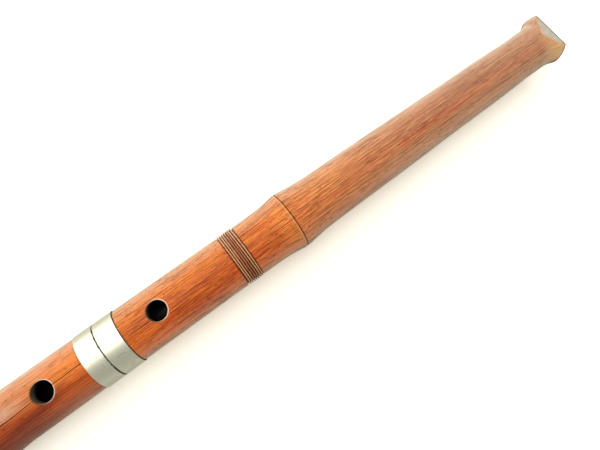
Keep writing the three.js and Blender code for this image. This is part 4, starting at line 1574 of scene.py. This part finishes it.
def upper_outline():
    start, end = BINDING_PLACE - RECESS_LENGTH / 2, BINDING_PLACE + RECESS_LENGTH / 2
    seat = UPPER_BAND_START - SEAT_GAP
    places = [-2.0, -1.0] + steps_between(0.0, 12.0, 0.3) + steps_between(12.6, FLARE_LENGTH, 0.7)
    places += steps_between(FLARE_LENGTH + 1, FIRST_NODE - NODE_MOUTH_REACH, 2.4)
    places += steps_between(FIRST_NODE - NODE_MOUTH_REACH + 0.8, FIRST_NODE - 2.4, 0.8)
    places += steps_between(FIRST_NODE - 2.2, FIRST_NODE + 2.6, 0.12)
    places += steps_between(FIRST_NODE + 3.2, start - 0.4, 0.8)
    places += edge_places(start) + edge_places(end, -1)
    places += steps_between(end + 1, seat - 0.5, 2.0) + edge_places(seat)
    places += steps_between(seat + 1, UPPER_CULM_END - 1, 2.0) + [UPPER_CULM_END]
    drops = {**edge_drops(start), **edge_drops(end, -1), **edge_drops(seat)}
    rows = []
    for place in places:
        radius = upper_radius(place) - groove(place, FIRST_NODE, GROOVE_DEPTH, GROOVE_HALF_WIDTH)
        recessed, seated = start < place < end, place > seat
        radius -= drops.get(place, 0.0)
        radius = RECESS_RADIUS if recessed else BAND_SEAT_RADIUS if seated else radius
        at_node = fading(place, FIRST_NODE - 6, FIRST_NODE + 6, 5)
        give = fading(place, 8.0, start, 12.0) * (1 - at_node) + fading(place, end, seat, 8.0) * 0.5
        rows.append((place, radius, give))
    return rows


def waver_node(mesh, node, reach, amount, seed):
    """A node's groove isn't a true circle: it wanders a little along the culm."""
    for vertex in mesh.vertices:
        off = abs(-vertex.co.x - node) / reach
        if off < 1:
            direction = Vector((seed, vertex.co.y, vertex.co.z)) * 0.07
            vertex.co.x += amount * noise.noise(direction) * (1 - off) ** 2


def lean_mouth(mesh):
    """The flare reaches further back on the near side than on the far one."""
    for vertex in mesh.vertices:
        x, y, z = vertex.co
        across = y * math.cos(MOUTH_TURN) - z * math.sin(MOUTH_TURN)
        vertex.co.x += lean(-x, across)


# %% Make the upper culm


def anchor_tool(place, turn):
    """A small upright hole in the underside of the culm, for an end of the cord."""
    ends = (-CULM_RADIUS - 2, -CORD_CENTRE_RADIUS + CORD_BEND + CORD_DIAMETER)
    angles = [2 * math.pi * k / ANCHOR_SIDES for k in range(ANCHOR_SIDES)]
    rings = [[Vector((
        -place + ANCHOR_RADIUS * math.cos(angle),
        turn * CORD_BEND + ANCHOR_RADIUS * math.sin(angle), height,
    )) for angle in angles] for height in ends]
    return mesh_from_rings("anchor_tool", rings, CULM_MATERIALS, material_index=CUT_FACE)


def make_upper_culm():
    culm = swept_culm("upper_culm", upper_outline(), seed=2.0)
    waver_node(culm.data, FIRST_NODE, reach=3.0, amount=0.15, seed=3.0)
    lean_mouth(culm.data)
    clear = LINING_WALL + SEAT_GAP
    mouth_radius = bore_radius(MOUTH_BORE_LENGTH) + clear
    cut(culm, turned("bore_tool", [
        (MOUTH_BORE_LENGTH - 1, mouth_radius), (MOUTH_BORE_LENGTH, mouth_radius),
        (UPPER_LINING[1], bore_radius(UPPER_LINING[1]) + clear),
        (UPPER_LINING[1], TENON_RADIUS + SEAT_GAP),
        (JOINT_PLACE, TENON_RADIUS + SEAT_GAP),
    ], CULM_MATERIALS, wall=False))
    cut(culm, mouth_bore_tool())
    cut(culm, end_face_tool())
    cut(culm, box_tool(*MOUTH_CUT_BLOCK, MOUTH_FRAME))
    cut(culm, inlay_plate(
        "pocket_tool", INLAY_RIM, INLAY_THICKNESS + INLAY_PLAY, 1.0, CULM_MATERIALS,
    ))
    cut(culm, hole_tool(UPPER_HOLE_PLACE, UPPER_HOLE))
    cut(culm, hole_tool(THUMB_PLACE, THUMB_HOLE, side=-1))
    cut(culm, anchor_tool(CORD_START, 1))
    cut(culm, anchor_tool(CORD_END, -1))
    finish_piece(culm, "upper", ["upper_bamboo"])


make_upper_culm()

# %% [markdown]
# The inlay is a thin plate of horn in a pocket of the same outline. The bamboo keeps a narrow
# rim all round it. The plate is cut flush with the end face, and its underside with the bore.

# %% Make the inlay


def make_inlay():
    inlay = inlay_plate("horn_inlay", INLAY_RIM + INLAY_PLAY, INLAY_THICKNESS, 0.0, [HORN])
    cut(inlay, end_face_tool())
    cut(inlay, mouth_bore_tool())
    one_material(inlay, HORN)
    finish_piece(inlay, "upper", ["mouth_inlay"])


make_inlay()

# %% [markdown]
# The linings are thin shells in the bore. Each finger hole goes on through its lining, with the
# same tool as through the bamboo.

# %% Make the linings


def lining_outline(places):
    outside = [(place, bore_radius(place) + LINING_WALL) for place in places]
    return outside + [(place, bore_radius(place)) for place in reversed(places)]


def bend_to_root(mesh):
    for vertex in mesh.vertices:
        vertex.co.z += rise_at(-vertex.co.x)


def make_upper_lining():
    places = steps_between(UPPER_LINING[0], UPPER_LINING[1], 12.0)
    lining = turned("upper_bore_lacquer", lining_outline(places), [BORE_LACQUER])
    cut(lining, hole_tool(UPPER_HOLE_PLACE, UPPER_HOLE))
    cut(lining, hole_tool(THUMB_PLACE, THUMB_HOLE, side=-1))
    one_material(lining, BORE_LACQUER)
    finish_piece(lining, "upper", ["upper_bore_lining"])


def make_lower_lining():
    places = steps_between(LOWER_LINING_START, ROOT_START, 12.0)
    places += steps_between(ROOT_START + 2, TOTAL_LENGTH, 2.0)
    lining = turned("lower_bore_lacquer", lining_outline(places), [BORE_LACQUER])
    bend_to_root(lining.data)
    for place in LOWER_HOLE_PLACES:
        cut(lining, hole_tool(place, LOWER_HOLE))
    one_material(lining, BORE_LACQUER)
    finish_piece(lining, "lower", ["lower_bore_lining"])


make_upper_lining()
make_lower_lining()

# %% [markdown]
# ## The lower section
# The lower culm is dug up with its root. It widens, bends upwards and ends in crowded nodes. The
# CAD has three of these rings. Grown bamboo has faint ones in between, so the outline gets them
# too, lower than the main ones.

# %% The outline of the lower culm
FAINT_RINGS = [(465.0, 0.25), (477.0, 0.3), (499.5, 0.35), (521.0, 0.3), (538.5, 0.3)]
FAINT_REACH = 4.5
ROOT_EDGE_ROUNDING = 0.8
ROOT_GROOVE = (0.35, 0.35)


def lower_outline():
    seat_end = LOWER_BAND_END + SEAT_GAP
    places = [LOWER_CULM_START] + steps_between(LOWER_CULM_START + 1, seat_end - 0.5, 2.0)
    places += edge_places(seat_end, -1)
    start = seat_end + 1
    for node in LOWER_NODES:
        places += steps_between(start, node - LOWER_NODE_REACH, 2.2)
        places += steps_between(node - LOWER_NODE_REACH + 0.8, node - 2.2, 0.8)
        places += steps_between(node - 2.0, node + 2.6, 0.15)
        places += steps_between(node + 3.2, node + LOWER_NODE_REACH, 0.9)
        start = node + LOWER_NODE_REACH + 1
    places += steps_between(start, TOTAL_LENGTH - 1, 0.8)
    places += [TOTAL_LENGTH - 0.7, TOTAL_LENGTH - 0.45, TOTAL_LENGTH - 0.2, TOTAL_LENGTH]
    drops = edge_drops(seat_end, -1)
    rows = []
    for place in sorted(set(places)):
        radius = lower_radius(place)
        radius -= sum(groove(place, node, GROOVE_DEPTH, GROOVE_HALF_WIDTH) for node in LOWER_NODES)
        radius -= sum(groove(place, node + 0.8, *ROOT_GROOVE) for node in ROOT_NODES)
        radius += sum(root_ring(place, node, rise, FAINT_REACH) for node, rise in FAINT_RINGS) * (
            1 - min(1.0, max(root_ring(place, node, 1.0, ROOT_NODE_REACH) for node in ROOT_NODES)))
        left = TOTAL_LENGTH - place
        if left < ROOT_EDGE_ROUNDING:
            radius -= ROOT_EDGE_ROUNDING * (1 - math.sqrt(1 - (1 - left / ROOT_EDGE_ROUNDING) ** 2))
        radius = BAND_SEAT_RADIUS if place < seat_end else radius - drops.get(place, 0.0)
        rows.append((place, radius, fading(place, seat_end, TOTAL_LENGTH, 10.0)))
    return rows


# %% [markdown]
# A hairline crack has opened along the grain through the third hole, as old bamboo does. It is a
# thin wedge that follows a slightly wavy line, cut out of the wall, and dark with old lacquer.

# %% The crack
CRACK_POINTS = [
    (314.8, -1.9), (322, -1.2), (330, -0.6), (336, 1.4),
    (342, 3.9), (349, 5.9), (358, 7.2), (364, 7.6),
]
CRACK_WIDTH = 0.42
CRACK_DEPTH = 0.6
CRACK_END = {"width": 0.3, "depth": 0.4}


def crack_tool():
    """The wedge, from the crack's points as (place, degrees round the culm)."""
    rings = []
    last = len(CRACK_POINTS) - 1
    for i, (place, degrees) in enumerate(CRACK_POINTS):
        angle = -math.radians(degrees)
        outward = Vector((0, math.sin(angle), math.cos(angle)))
        sideways = Vector((0, math.cos(angle), -math.sin(angle)))
        width = CRACK_WIDTH * (CRACK_END["width"] if i == last else 1.0)
        depth = CRACK_DEPTH * (CRACK_END["depth"] if i == last else 1.0)
        bottom = CULM_RADIUS * FACET - depth
        top = CULM_RADIUS + 1.0
        spread = width * (top - bottom) / (CULM_RADIUS - bottom) / 2
        middle = Vector((-place, 0, 0))
        rings.append([
            middle + outward * bottom, middle + outward * top + sideways * spread,
            middle + outward * top - sideways * spread,
        ])
    return mesh_from_rings("crack_tool", rings, CULM_MATERIALS, material_index=LACQUER_FACE)


def make_lower_culm():
    culm = swept_culm("lower_culm", lower_outline(), seed=9.0)
    for i, node in enumerate(LOWER_NODES):
        waver_node(culm.data, node, reach=3.0, amount=0.5, seed=11.0 + i)
    for i, node in enumerate(ROOT_NODES):
        waver_node(culm.data, node, reach=ROOT_NODE_REACH, amount=1.6, seed=17.0 + i)
    bend_to_root(culm.data)
    clear = LINING_WALL + SEAT_GAP
    places = steps_between(LOWER_LINING_START, ROOT_START, 30.0)
    places += steps_between(ROOT_START + 2, TOTAL_LENGTH + 2, 2.0)
    bore = turned("bore_tool", [
        (LOWER_CULM_START - 2, SOCKET_OUTER_RADIUS + SEAT_GAP),
        (LOWER_LINING_START, SOCKET_OUTER_RADIUS + SEAT_GAP),
        *[(place, bore_radius(place) + clear) for place in places],
    ], CULM_MATERIALS, wall=False)
    bend_to_root(bore.data)
    cut(culm, bore)
    for place in LOWER_HOLE_PLACES:
        cut(culm, hole_tool(place, LOWER_HOLE))
    cut(culm, crack_tool())
    finish_piece(culm, "lower", ["lower_bamboo"])


make_lower_culm()

# %% [markdown]
# The roots are sawn off close to the culm and filed, which leaves rows of small round stubs. A
# stub is modelled once inside a node tree and set upright on every point of the rows, each a
# little larger or smaller than the next. The tree also stores how far a point lies from the
# stub's middle, so the finish can paint its pith and its rim.

# %% Root stubs
STUBS_IN_ROW = 14
STUB_RADIUS = 1.6
STUB_RISE = 1.2
STUB_ROOT = 2.0
STUB_SIDES = 14
STUB_LAYERS = 4
PITH_DIP = 0.22
EDGE_FALL = 0.3
PITH_COLOUR = paint(206, 142, 88)


def make_root_stubs_tree():
    tree, given, end = geometry_tree("root_stubs", [
        ("Radius", FLOAT, STUB_RADIUS), ("Height", FLOAT, STUB_ROOT + STUB_RISE),
        ("Size Change", FLOAT, 0.16), ("Seed", INTEGER, 5), ("Material", MATERIAL, None),
    ])
    stub = put(
        tree, "GeometryNodeMeshCylinder", {"fill_type": "TRIANGLE_FAN"},
        Vertices=STUB_SIDES, Side_Segments=STUB_LAYERS, Fill_Segments=STUB_LAYERS,
        Radius=given["Radius"], Depth=given["Height"],
    )[0]
    place = add(tree, "GeometryNodeInputPosition").outputs[0]
    parts = split(tree, place)
    from_middle = distance(tree, join(tree, x=parts[0], y=parts[1]))
    away = maths(tree, "DIVIDE", from_middle, given["Radius"])
    marked = store_value(tree, stub, "from_pith", away)
    on_top = maths(tree, "GREATER_THAN", parts[2], times(tree, given["Height"], 0.2))
    dip = times(tree, remap(tree, away, 0.0, 0.55, 1.0, 0.0, smooth=True), PITH_DIP)
    fall = times(tree, remap(tree, away, 0.6, 1.0, smooth=True), EDGE_FALL)
    lower = times(tree, maths(tree, "ADD", dip, fall), on_top)
    down = join(tree, z=times(tree, lower, -1.0))
    domed = put(tree, "GeometryNodeSetPosition", Geometry=marked, Offset=down)[0]
    outward = stored_value(tree, "outward", "FLOAT_VECTOR")
    standing = put(tree, "FunctionNodeAlignRotationToVector", {"axis": "Z"}, Vector=outward)[0]
    change = add(tree, "FunctionNodeRandomValue", data_type="FLOAT")
    low = maths(tree, "SUBTRACT", 1.0, given["Size Change"])
    for socket in change.inputs:
        if socket.name == "Min" and socket.enabled:
            feed(tree, socket, low)
        elif socket.name == "Max" and socket.enabled:
            socket.default_value = 1.0
        elif socket.name == "Seed":
            feed(tree, socket, given["Seed"])
    size = join(tree, change.outputs[1], change.outputs[1], 1.0)
    set_on = put(
        tree, "GeometryNodeInstanceOnPoints",
        Points=given["Geometry"], Instance=domed, Rotation=standing, Scale=size,
    )[0]
    close_tree(tree, set_on, given["Material"], end)
    return tree


def make_stub_finish():
    material, tree, shader, vector = start_material("root_stub")
    away = add(tree, "ShaderNodeAttribute", attribute_name="from_pith").outputs["Fac"]
    grain = place_group(tree, LONG_GRAIN, Vector=vector, Fineness=1.6, Length=3.0, Dark_Share=0.3)
    stain = place_group(tree, MOTTLING, Vector=vector, Size=4.0, Stretch=1.0, Amount=0.5)["Mask"]
    wall = mix_colours(tree, grain["Streaks"], paint(104, 44, 24), paint(160, 82, 44))
    inside = remap(tree, away, 0.5, 0.8, 1.0, 0.0, smooth=True)
    body = mix_colours(tree, inside, wall, PITH_COLOUR)
    body = layer(tree, body, DIRT_AND_SHADE_COLOUR, remap(tree, away, 0.12, 0.26, 1.0, 0.0, smooth=True))
    body = layer(tree, body, SMOKE_COLOUR, stain, 0.5)
    fill(tree, shader, Base_Color=body, Roughness=remap(tree, stain, 0.0, 1.0, 0.34, 0.5))
    fill(tree, shader, Coat_Weight=0.3, Coat_Roughness=0.2)
    bump(tree, shader, grain["Streaks"], 0.04)
    return material


def make_root_stubs():
    points, normals = [], []
    for node in ROOT_NODES:
        for k in range(STUBS_IN_ROW):
            angle = 2 * math.pi * (k + 0.5) / STUBS_IN_ROW + math.pi
            outward = Vector((0, -math.sin(angle), math.cos(angle)))
            top = CULM_RADIUS + root_widening(node) + ROOT_NODE_RISE + STUB_RISE
            middle = top * FACET - (STUB_ROOT + STUB_RISE) / 2
            points.append(Vector((-node, 0, rise_at(node))) + outward * middle)
            normals.append(outward)
    mesh = bpy.data.meshes.new("root_stubs")
    mesh.from_pydata(points, [], [])
    attribute = mesh.attributes.new("outward", "FLOAT_VECTOR", "POINT")
    attribute.data.foreach_set("vector", [part for normal in normals for part in normal])
    stubs = link_object("root_stubs", mesh, [])
    grow(stubs, make_root_stubs_tree(), Seed=5, Material=make_stub_finish())
    for vertex in stubs.data.vertices:
        vertex.co.z = max(vertex.co.z, -AXIS_HEIGHT)
    finish_piece(stubs, "lower", ["lower_bamboo"])


make_root_stubs()

# %% [markdown]
# ## The middle joint
# The tenon is glued into the upper section and slides into the lacquered socket of the lower
# one. It is wound with flat rattan, so its outline is a row of very low ridges. The two metal
# bands stop the bamboo from splitting, and each folds over the end of its culm as a lip.

# %% Tenon and socket
TENON_RIDGE = 1.6
RIDGE_DEPTH = 0.06


def make_tenon():
    outline = []
    for place in steps_between(TENON_START, TENON_END - 0.9, TENON_RIDGE / 4):
        wave = abs(math.sin(math.pi * (place - TENON_START) / TENON_RIDGE))
        outline.append((place, TENON_RADIUS - RIDGE_DEPTH * (1 - wave)))
    outline += [(TENON_END - 0.5, TENON_RADIUS - 0.2), (TENON_END - 0.15, TENON_RADIUS - 0.5)]
    outline += [(TENON_END, TENON_RADIUS - 0.7), (TENON_END, JOINT_BORE_RADIUS + 0.3)]
    outline += [(TENON_END - 0.3, JOINT_BORE_RADIUS), (TENON_START, JOINT_BORE_RADIUS)]
    tenon = turned("rattan_tenon", outline, [TENON_LACQUER])
    finish_piece(tenon, "tenon", ["tenon_sleeve"])


def make_socket():
    start = JOINT_PLACE + JOINT_GAP + SEAT_GAP
    socket = turned("socket_lacquer", [
        (start, SOCKET_OUTER_RADIUS), (SOCKET_END, SOCKET_OUTER_RADIUS), (SOCKET_END, SOCKET_RADIUS),
        (start + 0.5, SOCKET_RADIUS), (start, SOCKET_RADIUS + 0.4),
    ], [BORE_LACQUER])
    finish_piece(socket, "lower", ["socket_sleeve"])


make_tenon()
make_socket()

# %% Metal bands
BAND_ROUNDING = 0.28


def make_band(name, lip_place, far_place, lip_radius, body, replaced):
    side = 1 if far_place > lip_place else -1
    inner = BAND_RADIUS - BAND_WALL
    corners = [
        (lip_place, BAND_RADIUS), (far_place, BAND_RADIUS), (far_place, inner),
        (lip_place + side * LIP, inner), (lip_place + side * LIP, lip_radius), (lip_place, lip_radius),
    ]
    outline = fill_runs(round_corners(corners, BAND_ROUNDING), 1.0)
    band = turned(name, outline, [BAND_METAL])
    finish_piece(band, body, replaced)


make_band("upper_band", JOINT_PLACE, UPPER_BAND_START, TENON_RADIUS + SEAT_GAP,
          "upper", ["upper_joint_band"])
make_band("lower_band", JOINT_PLACE + JOINT_GAP, LOWER_BAND_END, SOCKET_OUTER_RADIUS + SEAT_GAP,
          "lower", ["lower_joint_band"])

# %% [markdown]
# ## The binding
# A twisted cord is wound seven times round the culm in its recess. Both ends dive into small
# holes on the underside. The script gives the line of the cord's middle. A node tree lays the
# strands round that line, each turned on by its share of a circle, and sweeps them.

# %% The line of the cord
STEPS_IN_TURN = 90
BEND_STEPS = 8
CORD_WANDER = 0.3
STRAND_SIDES = 6
STRANDS = 3
POINTS_IN_STRAND = 3200


def bend_point(place, turn, part):
    angle = part * math.pi / 2
    y = turn * CORD_BEND * math.sin(angle)
    z = -CORD_CENTRE_RADIUS + CORD_BEND * (1 - math.cos(angle))
    return Vector((-place, y, z))


def cord_line():
    anchor = bend_point(CORD_START, 1, 1)
    points = [anchor + Vector((0, 0, CORD_DIAMETER))]
    points += [bend_point(CORD_START, 1, 1 - k / BEND_STEPS) for k in range(BEND_STEPS + 1)]
    for i in range(1, CORD_TURNS * STEPS_IN_TURN):
        angle = 2 * math.pi * i / STEPS_IN_TURN
        place = CORD_START + CORD_PITCH * i / STEPS_IN_TURN
        ease = min(1.0, i / STEPS_IN_TURN, CORD_TURNS - i / STEPS_IN_TURN)
        place += ease * CORD_WANDER * noise.noise(Vector((0.55 * angle, 4.0, 0)))
        points.append(Vector((
            -place, -CORD_CENTRE_RADIUS * math.sin(angle), -CORD_CENTRE_RADIUS * math.cos(angle),
        )))
    points += [bend_point(CORD_END, -1, k / BEND_STEPS) for k in range(BEND_STEPS + 1)]
    points.append(bend_point(CORD_END, -1, 1) + Vector((0, 0, CORD_DIAMETER)))
    return points


# %% The twisted cord


def make_twist_tree():
    tree, given, end = geometry_tree("twisted_cord", [
        ("Strands", INTEGER, STRANDS), ("Strand Radius", FLOAT, 0.196), ("Orbit", FLOAT, 0.226),
        ("Twist Length", FLOAT, 2.2), ("Points", INTEGER, POINTS_IN_STRAND), ("Material", MATERIAL, None),
    ])
    line = line_from(tree, given["Geometry"])
    even = put(
        tree, "GeometryNodeResampleCurve", {"mode": "COUNT"}, Curve=line, Count=given["Points"],
    )[0]
    copies = put(
        tree, "GeometryNodeDuplicateElements", {"domain": "SPLINE"},
        Geometry=even, Amount=given["Strands"],
    )
    share = maths(tree, "DIVIDE", copies["Duplicate Index"], given["Strands"])
    numbered = store_value(tree, copies["Geometry"], "strand", share)
    along = add(tree, "GeometryNodeSplineParameter").outputs["Length"]
    turns = maths(tree, "DIVIDE", along, given["Twist Length"])
    turns = maths(tree, "ADD", turns, stored_value(tree, "strand"))
    angle = times(tree, turns, 2 * math.pi)
    tangent = add(tree, "GeometryNodeInputTangent").outputs[0]
    out = vector_maths(tree, "NORMALIZE", vector_maths(tree, "CROSS_PRODUCT", tangent, (1, 0, 0)))
    side = vector_maths(tree, "CROSS_PRODUCT", out, tangent)
    shifts = []
    for axis, wave in ((out, "COSINE"), (side, "SINE")):
        reach = times(tree, maths(tree, wave, angle), given["Orbit"])
        shifts.append(scaled(tree, axis, reach))
    push = vector_maths(tree, "ADD", *shifts)
    laid = put(tree, "GeometryNodeSetPosition", Geometry=numbered, Offset=push)[0]
    strands = swept_round(tree, laid, STRAND_SIDES, given["Strand Radius"])
    close_tree(tree, strands, given["Material"], end)
    return tree


def make_binding():
    binding = line_object("binding_cord", cord_line())
    grow(binding, make_twist_tree(), Strands=STRANDS, Points=POINTS_IN_STRAND, Material=CORD_FIBRE)
    finish_piece(binding, "upper", ["cord_binding"])


make_binding()
